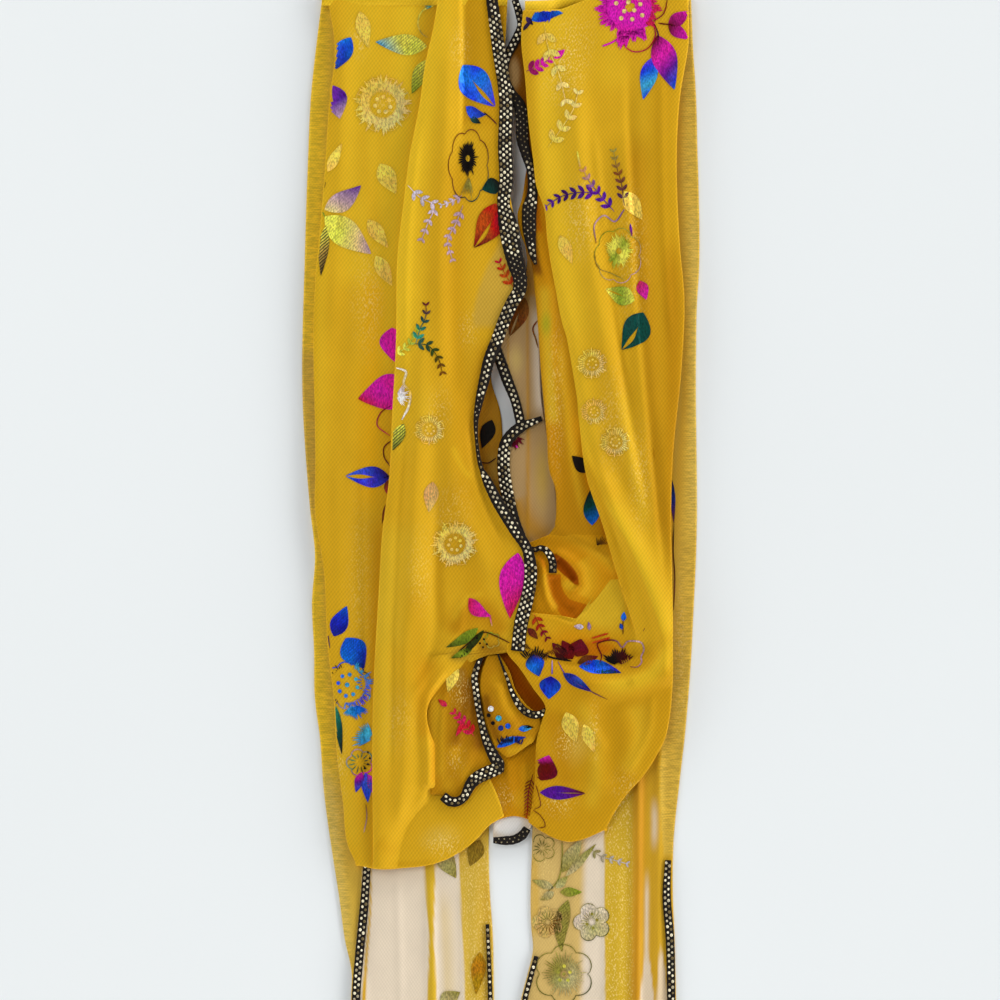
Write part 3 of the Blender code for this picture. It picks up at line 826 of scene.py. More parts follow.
def dye_run(dyes: Dyes, share: Array) -> Array:
    """A run of dyes: straight changes from one to the next as the share goes from 0 to 1."""
    stops = np.array([dye.linear() for dye in (dyes if isinstance(dyes, tuple) else (dyes, dyes))])
    at = np.clip(share, 0, 1) * (len(stops) - 1)
    low = np.minimum(at.astype(int), len(stops) - 2)
    part = (at - low)[..., None]
    return stops[low] * (1 - part) + stops[low + 1] * part


def patch(places: Array, dye: Array, veins: float = 0.0, lift: float = 0.0) -> Scrap:
    """Foil over a grid of places, rows by columns by 2, with its dye."""
    rows, columns = places.shape[:2]
    index = np.arange(rows * columns).reshape(rows, columns)
    faces = np.stack([index[:-1, :-1], index[1:, :-1], index[1:, 1:], index[:-1, 1:]], axis=-1)
    count = rows * columns
    return Scrap(places.reshape(-1, 2), faces.reshape(-1, 4), dye.reshape(-1, 3), np.full(count, veins),
                 np.full(count, lift))


def copies(template: Array, faces: Array, moves: Array, dye: Array, veins: float = 0.0,
        lift: float = 0.0) -> Scrap:
    """Many copies of one small shape.

    Args:
        template: places of the shape, (k, 2).
        faces: its faces.
        moves: for each copy its x, down, angle in radians, length and width, (m, 5).
        dye: for each copy its colour, (m, 3).
        veins: strength of the dark veins.
        lift: height over the net.

    Returns:
        All the copies as one scrap.
    """
    along, aside = template[None, :, 0] * moves[:, 3:4], template[None, :, 1] * moves[:, 4:5]
    cos, sin = np.cos(moves[:, 2:3]), np.sin(moves[:, 2:3])
    places = np.stack([moves[:, :1] + along * cos - aside * sin,
                       moves[:, 1:2] + along * sin + aside * cos], axis=-1)
    count, size = len(moves), len(template)
    every = (faces[None] + size * np.arange(count)[:, None, None]).reshape(-1, faces.shape[1])
    return Scrap(places.reshape(-1, 2), every, np.repeat(dye, size, axis=0), np.full(count * size, veins),
                 np.full(count * size, lift))


def small_leaf() -> tuple[Array, Array]:
    """A pointed leaf of unit length and width: half width sin(pi u) / 2 on a grid of 6 by 3."""
    u, v = np.meshgrid(np.linspace(0, 1, 6), np.linspace(-1, 1, 3), indexing="ij")
    places = np.stack([u, 0.5 * v * np.sin(np.pi * u) ** 0.8], axis=-1)
    return places.reshape(-1, 2), patch(places, np.zeros((*u.shape, 3))).faces


@dataclass(frozen=True)
class Leaf:
    """A leaf from its stalk to its tip.

    Across it the half width is width / 2 * sin(pi u)^0.8 * (1 + 0.3 cos(pi u)), u from stalk to tip. A
    slit opens along the middle towards the tip. bow bends the middle line sideways by that length.
    """

    stalk: Pair
    tip: Pair
    width: float
    dyes: Dyes
    slit: float = 0.0
    bow: float = 0.0
    veins: float = 0.0

    def scraps(self) -> list[Scrap]:
        """One blade, or two with the slit between them."""
        start, end = np.array(self.stalk), np.array(self.tip)
        length = float(np.hypot(*(end - start)))
        ahead = (end - start) / length
        aside = np.array([ahead[1], -ahead[0]])
        u = np.linspace(0, 1, max(9, int(length / 1.0)))
        middle = start + ahead * (u * length)[:, None] + aside * (self.bow * 4 * u * (1 - u))[:, None]
        swell = np.sin(np.pi * np.clip(u, 0.004, 0.996)) ** 0.8
        half = 0.5 * self.width * swell * (1 + 0.3 * np.cos(np.pi * u))
        if not self.slit:
            v = np.linspace(-1, 1, 9)
            tone = dye_run(self.dyes, u[:, None] + 0.12 * v)
            return [patch(middle[:, None, :] + aside * (half[:, None] * v)[..., None], tone, self.veins)]
        made = []
        for side in (-1, 1):
            near = self.slit * ramp((u - 0.3) / 0.5)
            v = near[:, None] + (1 - near[:, None]) * np.linspace(0, 1, 5)
            places = middle[:, None, :] + side * aside * (half[:, None] * v)[..., None]
            tone = dye_run(self.dyes, (u[:, None] + 0.12 * side * v) * np.ones_like(v))
            made.append(patch(places, tone, self.veins))
        return made


@dataclass(frozen=True)
class Vein:
    """A foil line of one width along a path, thinner at its ends."""

    line: Rows
    width: float
    dyes: Dyes
    lift: float = 0.0

    def scraps(self) -> list[Scrap]:
        """The line as a ribbon of two columns."""
        points, reached = path_through(self.line, FOIL_STEP)
        share = reached / reached[-1]
        half = 0.5 * self.width * (0.45 + 0.55 * ramp(share / 0.15) * ramp((1 - share) / 0.15))
        aside = sideways(points) * half[:, None]
        places = np.stack([points - aside, points + aside], axis=1)
        return [patch(places, dye_run(self.dyes, share[:, None] * np.ones(2)), lift=self.lift)]


@dataclass(frozen=True)
class Sprig:
    """A twig with pairs of small leaves that grow smaller towards its tip.

    spread is the leaves' angle from the twig in radians, taper is how much smaller a leaf at the tip is,
    and reach gives the shares of the twig at which the first and the last pair stand.
    """

    line: Rows
    leaf: float
    pairs: int
    dyes: Dyes
    plump: float = 0.42
    spread: float = 0.75
    taper: float = 0.45
    reach: Pair = (0.12, 0.95)
    twig: float = 0.45

    def scraps(self) -> list[Scrap]:
        """The twig, and its leaves as copies of one, turned from it to either side."""
        points, reached = path_through(self.line, FOIL_STEP)
        ahead = np.gradient(points, axis=0)
        at = np.linspace(*self.reach, self.pairs) * reached[-1]
        places = np.stack([np.interp(at, reached, points[:, i]) for i in (0, 1)], axis=1)
        angle = np.interp(at, reached, np.unwrap(np.arctan2(ahead[:, 1], ahead[:, 0])))
        size = self.leaf * (1 - self.taper * at / reached[-1])
        moves = np.concatenate([
            np.stack([places[:, 0], places[:, 1], angle + turn, size, self.plump * size], axis=1)
            for turn in (self.spread, -self.spread)])
        tones = np.tile(dye_run(self.dyes, at / reached[-1]), (2, 1))
        return [*Vein(self.line, self.twig, self.dyes).scraps(), copies(*small_leaf(), moves, tones)]


@dataclass(frozen=True)
class Rays:
    """Thin tapered strokes round a middle, from an inner to an outer reach that varies from ray to ray."""

    middle: Pair
    inner: float
    outer: float
    count: int
    width: float
    dyes: Dyes
    squash: float = 1.0
    start: float = 0.0
    sweep: float = 360.0
    seed: int = 3
    lift: float = 0.04
    uneven: Pair = (0.72, 1.08)

    def scraps(self) -> list[Scrap]:
        """The rays as copies of one thin leaf."""
        draw = np.random.default_rng(self.seed)
        angle = np.radians(self.start + self.sweep * (np.arange(self.count) + 0.5) / self.count)
        reach = self.outer * draw.uniform(*self.uneven, self.count)
        squashed = np.stack([np.cos(angle) * self.squash, np.sin(angle)], axis=1)
        heading = np.arctan2(squashed[:, 1], squashed[:, 0])
        stretch = np.hypot(squashed[:, 0], squashed[:, 1])
        moves = np.stack([
            self.middle[0] + self.inner * squashed[:, 0], self.middle[1] + self.inner * squashed[:, 1],
            heading, (reach - self.inner) * stretch, np.full(self.count, self.width)], axis=1)
        tones = dye_run(self.dyes, (np.sin(angle + 0.9) + 1) / 2)
        return [copies(*small_leaf(), moves, tones, lift=self.lift)]


@dataclass(frozen=True)
class Bloom:
    """A flower's scalloped outline, or its whole face where it is filled.

    Its radius is reach * (1 - depth + depth * |sin(lobes * angle / 2)|^0.7), and x is squashed.
    """

    middle: Pair
    reach: float
    lobes: int
    width: float
    dyes: Dyes
    depth: float = 0.2
    squash: float = 1.0
    start: float = 0.0
    sweep: float = 360.0
    filled: bool = False
    veins: float = 0.0

    def scraps(self) -> list[Scrap]:
        """The outline as a ring of two columns, or the face as a disc."""
        count = max(24, int(self.sweep / 360 * 14 * self.lobes))
        angle = np.radians(np.linspace(self.start, self.start + self.sweep, count))
        radius = self.reach * (1 - self.depth + self.depth * np.abs(np.sin(self.lobes * angle / 2)) ** 0.7)
        rim = np.array([1 - self.width / self.reach, 1.0])
        shares = np.linspace(0.0, 1.0, 6)[1:] if self.filled else rim
        apart = radius[:, None] * shares
        places = np.stack([self.middle[0] + apart * np.cos(angle)[:, None] * self.squash,
                           self.middle[1] + apart * np.sin(angle)[:, None]], axis=-1)
        tone = dye_run(self.dyes, (np.sin(angle + 0.6)[:, None] + 1) / 2 * np.ones_like(apart))
        return [patch(places[:, ::-1], tone[:, ::-1], self.veins)]


def ring_of_spots(middle: Pair, wide: float, tall: float, angles: Array) -> Rows:
    """Places on an oval round a middle, one at each angle in radians."""
    return tuple((middle[0] + wide * math.cos(a), middle[1] + tall * math.sin(a)) for a in angles)


@dataclass(frozen=True)
class Dots:
    """Small round spots at given places."""

    places: Rows
    radius: float
    dyes: Dyes
    lift: float = 0.1

    def scraps(self) -> list[Scrap]:
        """The spots as copies of one disc of ten sides."""
        angle = np.linspace(0, 2 * np.pi, 10, endpoint=False)
        template = np.concatenate([[[0.0, 0.0]], np.stack([np.cos(angle), np.sin(angle)], axis=1)])
        around = np.arange(10)
        faces = np.stack([np.zeros(10, int), 1 + (around + 1) % 10, 1 + around], axis=1)
        spots = np.array(self.places, float)
        angles, sizes = np.zeros((len(spots), 1)), np.full((len(spots), 2), self.radius)
        moves = np.concatenate([spots, angles, sizes], axis=1)
        tones = dye_run(self.dyes, np.linspace(0, 1, len(spots)))
        return [copies(template, faces, moves, tones, lift=self.lift)]


Motif = Leaf | Vein | Sprig | Rays | Bloom | Dots


@dataclass
class Foil:
    """The prints on one stretch of net, pressed on its surface and cut off at its edges."""

    name: str
    host: Net
    motifs: tuple[Motif, ...]
    film: float = 0.06
    side_margin: float = 0.4
    rim_margin: float = 0.5

    def build(self, wardrobe: Wardrobe) -> Piece:
        """All its prints as one piece, given a thin film's thickness.

        Args:
            wardrobe: the finishes.

        Returns:
            The piece.
        """
        scraps = [scrap for motif in self.motifs for scrap in motif.scraps()]
        points, faces, tints, veins, count = [], [], [], [], 0
        for scrap in scraps:
            x, down = scrap.places[:, 0], scrap.places[:, 1]
            low = edge_x(self.host.left, down) + self.side_margin
            high = edge_x(self.host.right, down) - self.side_margin
            _, first, last = self.host.rims(x, down)
            inside = (x > low) & (x < high)
            inside &= (down > first + self.rim_margin) & (down < last - self.rim_margin)
            kept = scrap.faces[inside[scrap.faces].all(axis=1)]
            one, two, three = (scrap.places[kept[:, corner]] for corner in range(3))
            turn = np.cross(two - one, three - one)
            kept = np.where(turn[:, None] > 0, kept[:, ::-1], kept)
            points.append(to_world(x, down, self.host.height(x, down) + FILM + scrap.lift))
            faces += (kept + count).tolist()
            tints.append(scrap.dye)
            veins.append(scrap.veins)
            count += len(x)
        made = write_mesh(self.name, np.concatenate(points), faces, wardrobe.foil, np.concatenate(tints), 0,
                          Veins=np.concatenate(veins))
        film = made.modifiers.new("film", "SOLIDIFY")
        film.thickness = self.film * MM
        film.offset = -1.0
        return made


BRAID_SECTION = (
    (-0.94, 0.02), (-1.0, 0.35), (-0.95, 0.66), (-0.75, 0.86), (-0.4, 0.97), (0.0, 1.0), (0.4, 0.97),
    (0.75, 0.86), (0.95, 0.66), (1.0, 0.35), (0.94, 0.02), (0.0, 0.0))
"""The braid's section as (share of the half width, share of the thickness)."""


PROBES = (-0.9, -0.45, 0.0, 0.45, 0.9)
"""Shares of the half width at which the net below the braid is felt for."""
TONE_SHARES = (0.2, 0.24, 0.28, 0.28)
# How many of the studs have each tone, from the dullest to the brightest. The spread stands partly for painted
# glints and painted shade on the studs.
"""How many of the studs have each tone, from the dullest to the brightest."""


@dataclass
class Braid:
    """Flat woven braid along a path, lying on the net below it, with staggered rows of studs.

    rows gives the centreline as (x, down, width). Across the braid the section is a shallow crown on a
    flat underside, and its height follows the highest net below it, evened out along the path.
    """

    name: str
    rows: tuple[Triple, ...]
    hosts: tuple[Net, ...]
    lowest: float
    thickness: float = 0.9
    stud_gap: float = 1.62
    row_gap: float = 1.45
    narrow: float = 1.5
    turned: Rows = ()
    step: float = 0.72
    waver: float = 0.025
    clearance: float = 0.15
    evened_over: float = 4.0
    stud_margin: float = 0.62
    crown_drop: float = 0.14
    sunk: float = 0.08
    stud_sizes: Pair = (0.82, 1.14)
    back_and_shade_tone: float = 0.3
    back_size: float = 0.6

    def spine(self, spacing: float) -> tuple[Array, Array, Array, Array]:
        """The path's points, its cross vectors, the half width and the underside's height there."""
        table = np.array(self.rows, float)
        points, reached = path_through(tuple((row[0], row[1]) for row in self.rows), spacing)
        steps = np.hypot(*np.diff(table[:, :2], axis=0).T)
        knots = np.concatenate([[0.0], np.cumsum(steps)])
        half = 0.5 * np.interp(reached / reached[-1], knots / knots[-1], table[:, 2])
        aside = sideways(points)
        low = np.full(len(points), self.lowest)
        for share in PROBES:
            x, down = points[:, 0] + share * half * aside[:, 0], points[:, 1] + share * half * aside[:, 1]
            for host in self.hosts:
                low = np.maximum(
                    low, np.where(host.covers(x, down), host.height(x, down) + self.clearance, self.lowest))
        reach = max(1, int(round(self.evened_over / spacing)))
        padded = np.pad(low, reach, mode="edge")
        raised = np.max([padded[i:i + len(low)] for i in range(2 * reach + 1)], axis=0)
        padded = np.pad(raised, reach, mode="edge")
        even = np.mean([padded[i:i + len(low)] for i in range(2 * reach + 1)], axis=0)
        return points, aside, half, even

    def build(self, wardrobe: Wardrobe) -> Piece:
        """The braid's tape.

        Args:
            wardrobe: the finishes.

        Returns:
            The piece.
        """
        points, aside, half, low = self.spine(self.step)
        count = len(points)
        wave = 1 + self.waver * np.sin(2 * np.pi * np.arange(count) * self.step / (2 * self.row_gap))
        profile = np.array(BRAID_SECTION)
        off = (half * wave)[:, None] * profile[:, 0]
        x = points[:, :1] + off * aside[:, :1]
        down = points[:, 1:] + off * aside[:, 1:]
        rings = to_world(x, down, low[:, None] + self.thickness * profile[:, 1])
        sides = len(profile)
        index = np.arange(count * sides).reshape(count, sides)
        after = np.roll(index, -1, axis=1)
        quads = np.stack([index[:-1], after[:-1], after[1:], index[1:]], axis=-1).reshape(-1, 4)
        faces = quads[:, ::-1].tolist()
        faces += [index[0].tolist(), index[-1][::-1].tolist()]
        tint = Dye.INK.linear() * np.ones((count * sides, 1))
        made = write_mesh(self.name, rings.reshape(-1, 3), faces, wardrobe.braid, tint, len(quads))
        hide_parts(self.name)
        return made

    def studs(self, draw: np.random.Generator) -> tuple[Array, Array]:
        """Where its studs stand.

        Args:
            draw: the seeded draw of tones.

        Returns:
            For each stud its x, down, z, heading and size (n, 5), and its dye (n, 3).
        """
        points, aside, half, low = self.spine(self.row_gap)
        odd = (np.arange(len(points)) % 2)[:, None]
        places = np.arange(-4, 5)[None, :]
        offsets = (places + 0.5 * (half[:, None] > self.narrow)) * self.stud_gap
        staggered = (places + odd) % 2 == 0
        kept = staggered & (np.abs(offsets) < half[:, None] - self.stud_margin)
        kept[0], kept[-1] = False, False
        row, column = np.nonzero(kept)
        off = offsets[row, column]
        place = points[row] + off[:, None] * aside[row]
        crown = self.thickness * (1 - self.crown_drop * (off / half[row]) ** 2) - self.sunk
        heading = np.arctan2(-aside[row, 0], aside[row, 1])
        # where the braid is turned its back shows: its studs are smaller and dimmer, the dimming partly
        # painted shade
        spans = [(place[:, 1] > start) & (place[:, 1] < end) for start, end in self.turned]
        back = np.any([np.zeros(len(row), bool), *spans], axis=0)
        tone = draw.choice(4, len(row), p=TONE_SHARES) / 3 * np.where(back, self.back_and_shade_tone, 1.0)
        size = draw.uniform(*self.stud_sizes, len(row)) * np.where(back, self.back_size, 1.0)
        dye = Dye.STUD_DIM.linear() * (1 - tone[:, None]) + Dye.STUD.linear() * tone[:, None]
        return np.stack([place[:, 0], place[:, 1], low[row] + crown, heading, size], axis=1), dye


@dataclass
class Studs:
    """All the studs of some braids: low domes, longer along the braid than across it."""

    name: str
    length: float = 1.62
    width: float = 1.4
    rise: float = 0.34
    sides: int = 8
    shoulder: Pair = (0.72, 0.75)

    def build(self, braids: tuple[Braid, ...], wardrobe: Wardrobe, seed: int) -> Piece:
        """The studs as copies of one dome: two rings of points, a top and a middle below.

        shoulder gives the upper ring's share of the foot's width and of the rise.

        Args:
            braids: the braids that carry them.
            wardrobe: the finishes.
            seed: fixes the draw of tones.

        Returns:
            The piece.
        """
        draw = np.random.default_rng(seed)
        placed = [braid.studs(draw) for braid in braids]
        where, dye = (np.concatenate(part) for part in zip(*placed))
        n = self.sides
        angle = np.linspace(0, 2 * np.pi, n, endpoint=False)
        ring = np.stack([np.cos(angle), np.sin(angle)], axis=1)
        dome = np.concatenate([
            np.concatenate([ring, np.zeros((n, 1))], axis=1),
            np.concatenate([self.shoulder[0] * ring, np.full((n, 1), self.shoulder[1])], axis=1),
            [[0, 0, 1.0], [0, 0, 0.0]]])
        dome = dome * np.array([self.length / 2, self.width / 2, self.rise])
        around, ahead = np.arange(n), (np.arange(n) + 1) % n
        side = np.stack([around + n, ahead + n, ahead, around], axis=1)
        fans = np.concatenate([np.stack([np.full(n, 2 * n), ahead + n, around + n], axis=1),
                               np.stack([np.full(n, 2 * n + 1), around, ahead], axis=1)])
        cos, sin = np.cos(where[:, 3:4]), np.sin(where[:, 3:4])
        length, width, rise = (where[:, 4:5] * dome[:, i] for i in range(3))
        points = to_world(where[:, :1] + length * cos - width * sin,
            where[:, 1:2] + length * sin + width * cos,
                          where[:, 2:3] + rise)
        first = len(dome) * np.arange(len(where))[:, None, None]
        every = (side + first).reshape(-1, 4).tolist() + (fans + first).reshape(-1, 3).tolist()
        made = write_mesh(self.name, points.reshape(-1, 3), every, wardrobe.stud,
            np.repeat(dye, len(dome), axis=0))
        return made


OUTER_LEFT: Rows = (
    (0, -89), (20, -91.5), (48, -94.5), (80, -96), (125, -97.5), (205, -98.5), (230, -97), (254, -95),
    (278, -92.5), (301, -94), (325, -93), (350, -92.5), (369, -90), (393, -88.3), (412, -86), (432, -83),
    (448, -80.5), (470, -77.5), (486, -74.2), (500, -74.5), (530, -73.5), (565, -74))
OUTER_RIGHT: Rows = (
    (0, 95.5), (24, 96.5), (48, 98), (72, 98.6), (95, 99.3), (139, 99.3), (151, 98.5), (178, 98), (278, 98),
    (310, 96.5), (330, 95.5), (350, 94), (369, 92.3), (393, 89.5), (420, 86.8), (448, 86.4), (467, 87.2),
    (500, 88), (565, 88.4))
TAIL_LEFT_INNER: Rows = (
    (0, -6), (50, 1), (110, 2), (160, 0), (185, -4.5), (191, -4.2), (203, -0.5), (209, 0.7), (219, 1.2),
    (235, 3), (300, 3), (345, 0), (400, -5), (448, -5), (461, -4), (500, -3), (565, -2))
TAIL_RIGHT_INNER: Rows = (
    (0, 12), (60, 13.5), (95, 16), (150, 20), (262, 20), (345, 18), (421, 16), (465, 15.7), (474, 16.5),
    (486, 14), (500, 10.4), (530, 9), (565, 8))
SWAG_LEFT_EDGE: Rows = (
    (0, -86), (25, -82.5), (48, -85), (91, -88), (115, -90), (140, -92.3), (235, -92.3), (254, -92.5),
    (286, -88), (325, -86), (345, -83.5), (377, -81.5), (401, -78.5), (424, -75.5), (434, -70.8))
FOLD_LEFT: Rows = (
    (0, -31), (14, -33.3), (32, -37.3), (51, -40), (80, -45.5), (100, -48), (125, -51), (171, -52),
    (210, -54), (240, -55.5), (266, -58.8), (294, -60.5), (333, -62.8), (350, -63.5), (434, -63.5))
FRONT_LEFT_SELVAGE: Rows = (
    (0, -2.5), (25, 1.2), (50, 4.8), (75, 4.6), (100, 5.4), (120, 9.4), (132, 11.2), (141, 12.2), (150, 9),
    (160, 4.4), (170, 0.6), (180, -3.4), (190, -6), (200, -9), (211, -11.3), (220, -11.3), (235, -8.3),
    (241, -5), (250, 0.2), (265, 9), (275, 15), (285, 17), (300, 15), (310, 12.6), (322, 11), (325.6, 8),
    (327, -4), (328.5, -9), (334, -18), (345, -31), (397, -31.5), (409, -42), (424, -48), (434, -50))
FOLD_RIGHT: Rows = (
    (0, 12), (20, 10.5), (40, 12.5), (60, 14), (80, 16.5), (95, 18.5), (103, 21.5), (120, 23.5),
    (151, 28.5), (181, 34), (214, 39.5), (240, 43.5), (262, 51), (286, 58), (300, 62.5), (317, 68))
FRONT_RIGHT_EDGE: Rows = (
    (0, 94), (20, 94.3), (48, 90), (125, 90), (147, 92), (186, 90.5), (226, 86.5), (317, 86.3))
INNER_RIGHT_SELVAGE: Rows = (
    (1.5, 6), (12.5, 9.6), (22.5, 6.2), (33, 2), (42, 2), (50, 7.6), (60, 8.6), (75, 10), (81.5, 13),
    (90, 12.4), (100, 10.8), (107, 8.8), (115, 9.8), (131, 15.5), (147, 17.5), (187, 20.5), (220, 23.5),
    (236, 24.8), (244, 27.5), (253, 28.1), (261, 27.5), (266.5, 25.8), (269, 21), (275, 16), (290, 15),
    (310, 12), (328, 10))
INNER_SHEER_SELVAGE: Rows = (
    (120, 12), (132, 13.5), (141, 12), (150, 8), (160, 4), (170, 0), (180, -2.2), (190, 1), (200, 5.2),
    (209, 8.6), (213, 7.4), (220, 1.6), (229, -0.4), (240, 0), (250, 2), (260, 4.8), (268, 8.5),
    (275, 12))
SWAG_RIGHT_INNER: Rows = (
    (306, 9), (317.6, 5.5), (325, 3.2), (334, 9.8), (343.6, 16.2), (354.4, 22.8), (360, 21), (369, 18.5),
    (388, 17.5), (405, 15.5), (411, 14), (421, 14))
SWAG_RIGHT_OUTER: Rows = (
    (317.6, 86.2), (345, 86), (360, 84.5), (369, 82.5), (378, 78), (388, 71.5), (398, 62.5), (409, 55.5),
    (421, 50))
TOP_RIGHT: Rows = ((0, 5.5), (0.22, 5.0), (0.42, -1.4), (1, -1.5))
TAIL_END = 565.0


def level(z: float) -> Rows:
    """The same height all the way down."""
    return ((0.0, z), (TAIL_END, z))


def straight(down: float) -> Rows:
    """A rim at one distance down."""
    return ((0.0, down), (1.0, down))


@dataclass
class LooseTails:
    """The two loose ends: single sheer net with pleats, shirred along its outer edges."""

    left_size: Pair = (0.088, 0.565)
    right_size: Pair = (0.080, 0.565)

    def left(self) -> Net:
        """The left end."""
        return Net(
            "net_tail_left", Slot.CREAM, OUTER_LEFT, TAIL_LEFT_INNER, straight(0.3), straight(TAIL_END),
            level(FLAT), rows=((400, 3), (500, 1), (TAIL_END, 5)), columns=((0.12, 0.012), (1, 0.0125)),
            base=Dye.CREAM, flat=self.left_size, hold=Hold.GATHERED,
            folds=(
                Streak(1.3, 2.2, 2.2, ((-35.5, 424), (-34, 480), (-34, 625))),
                Streak(0.8, 4, 4, ((-13, 424), (-12, 480), (-12, 625))),
                Streak(0.8, 3, 3, ((-78, 424), (-73, 470), (-69, 500), (-68, 625))),
                Streak(0.5, 1.2, 3, ((-20, 430), (-18.5, 480), (-18, 625))),
                Streak(0.35, 2, 2, ((-52, 424), (-50, 480), (-51, 625)))),
            tones_and_shading=(
                Strip(1, ((-9, -110), (TAIL_END + 9, -110)),
                    ((-9, -55), (400, -55), (430, -67.5), (454, -69.5), (467, -71), (480, -72),
                        (500, -73.3), (TAIL_END + 9, -74)),
                    Dye.BAND, soft=1),
                # painted highlights: lighter streaks along the shirred outer band, against the shade that
                # falls there
                Streak(1, 9, 8, ((-90, -9), (-92, 60), (-93, 180)), Dye.SUN, ends=0.05),
                Streak(1, 7, 7, ((-93, 250), (-92.5, 300), (-90, 350), (-84, 400)), Dye.SUN, ends=0.1),
                Streak(0.9, 4, 3.5, ((-88, 376), (-84, 412), (-79, 455), (-75, 486)), Dye.PALE_BAND),
                Strip(1, ((425, -65.2), (454, -65.4), (480, -67.6), (500, -68.9), (TAIL_END + 9, -68.5)),
                    ((425, -64.6), (454, -64.4), (480, -66.2), (500, -67), (TAIL_END + 9, -66.5)),
                    Dye.OCHRE),
                Strip(1, ((425, -38.5), (448, -37), (468, -35.6), (485, -35.8), (500, -36.5), (574, -37)),
                    ((425, -32.2), (448, -32.6), (468, -33), (485, -32.2), (500, -31.5), (574, -31)),
                    Dye.HONEY),
                Strip(0.95, ((396, -20.4), (440, -20.2), (460, -19.2), (500, -17.5), (574, -17)),
                    ((396, 5), (574, 5)), Dye.HONEY),
                Streak(0.5, 5, 3, ((-7, 424), (-6, 460), (-5.5, 500), (-5, 600)), Dye.DEEP),
                Streak(0.45, 2, 4, ((-29, 440), (-27, 480), (-25, 560)), Dye.SAND),
                Strip(1, ((160, -16), (180, -14), (262, -16)), ((160, 8), (180, 8), (262, 12)), Dye.DUSK),
                Cloud(0.5, -3, 236, 5, 14, Dye.ASH)),
            flecks=(
                Strip(0.6, ((420, -20), (TAIL_END + 9, -18)), ((420, 0), (TAIL_END + 9, 0)), soft=6),
                Cloud(0.8, -15, 440, 6, 16), Cloud(0.35, -82, 420, 6, 60)),
            shirring=(
                Strip(1, ((-9, -110), (TAIL_END + 9, -110)),
                    ((-9, -84), (280, -88), (400, -78), (574, -70)), soft=4),))

    def right(self) -> Net:
        """The right end."""
        return Net(
            "net_tail_right", Slot.CREAM, TAIL_RIGHT_INNER, OUTER_RIGHT, TOP_RIGHT, straight(TAIL_END),
            level(FLAT), rows=((330, 3), (500, 1), (TAIL_END, 5)), columns=((1, 0.0125),), base=Dye.CREAM,
            flat=self.right_size, hold=Hold.GATHERED,
            folds=(
                Streak(0.9, 4, 4, ((59, 416), (59, 480), (58, 625))),
                Streak(1.6, 2.4, 1.8, ((69.5, 360), (69, 440), (67, 625))),
                Streak(1, 2, 2, ((80, 350), (79, 480), (79, 625))),
                Streak(0.5, 1.2, 3.5, ((52.5, 410), (52.5, 500), (52.5, 625))),
                Streak(0.3, 2.5, 2.5, ((36, 420), (38, 480), (36, 625)))),
            tones_and_shading=(
                Strip(1, ((-9, 52), (400, 52), (474, 52.4), (574, 52.6)), ((-9, 110), (574, 110)),
                    Dye.HONEY),
                Strip(1, ((-9, 66.5), (400, 66.5), (500, 66), (574, 66)), ((-9, 110), (574, 110)),
                    Dye.OCHRE),
                Streak(0.8, 3.5, 2.2, ((71, 350), (70.5, 420), (68.5, 480), (67, 600)), Dye.AMBER),
                Streak(0.75, 1.4, 1.6, ((77, 396), (77.2, 414), (76.8, 428)), Dye.CREAM, ends=0.4),
                Streak(0.9, 0.9, 1, ((73.5, 432), (73.3, 460), (73, 490)), Dye.CREAM, ends=0.3),
                Strip(0.85, ((470, 73), (486, 71.5), (500, 69.8), (574, 69)),
                    ((470, 73.6), (486, 75.5), (500, 77), (574, 79)), Dye.CREAM, fade=14),
                Strip(0.7, ((470, 80), (486, 79), (500, 78.2), (574, 78)),
                    ((470, 80.5), (486, 82.5), (500, 83.6), (574, 83.5)), Dye.CREAM, fade=10),
                Strip(0.8, ((400, 9), (TAIL_END + 9, 5)), ((400, 43), (480, 41), (TAIL_END + 9, 40)),
                    Dye.BAND, soft=5),
                Streak(0.5, 3, 2, ((17, 425), (18, 450), (18, 470)), Dye.OCHRE),
                Strip(1, ((-9, 86), (330, 84), (400, 80), (430, 82)), ((-9, 110), (430, 110)), Dye.BAND),
                Streak(0.6, 3, 1.2, ((97, 90), (98, 180), (97, 280)), Dye.PALE_BAND),
                Streak(0.55, 2, 3, ((89.5, 20), (89, 120), (92, 190), (88, 260), (88, 296)), Dye.DEEP)),
            flecks=(
                Strip(0.7, ((-9, 53), (574, 53)), ((-9, 66), (574, 66)), soft=4),
                Cloud(0.6, 22, 440, 8, 26), Cloud(0.5, 90, 330, 5, 60)),
            shirring=(
                Strip(1, ((-9, 90), (300, 89), (400, 80), (430, 84)), ((-9, 110), (430, 110)), soft=5),))


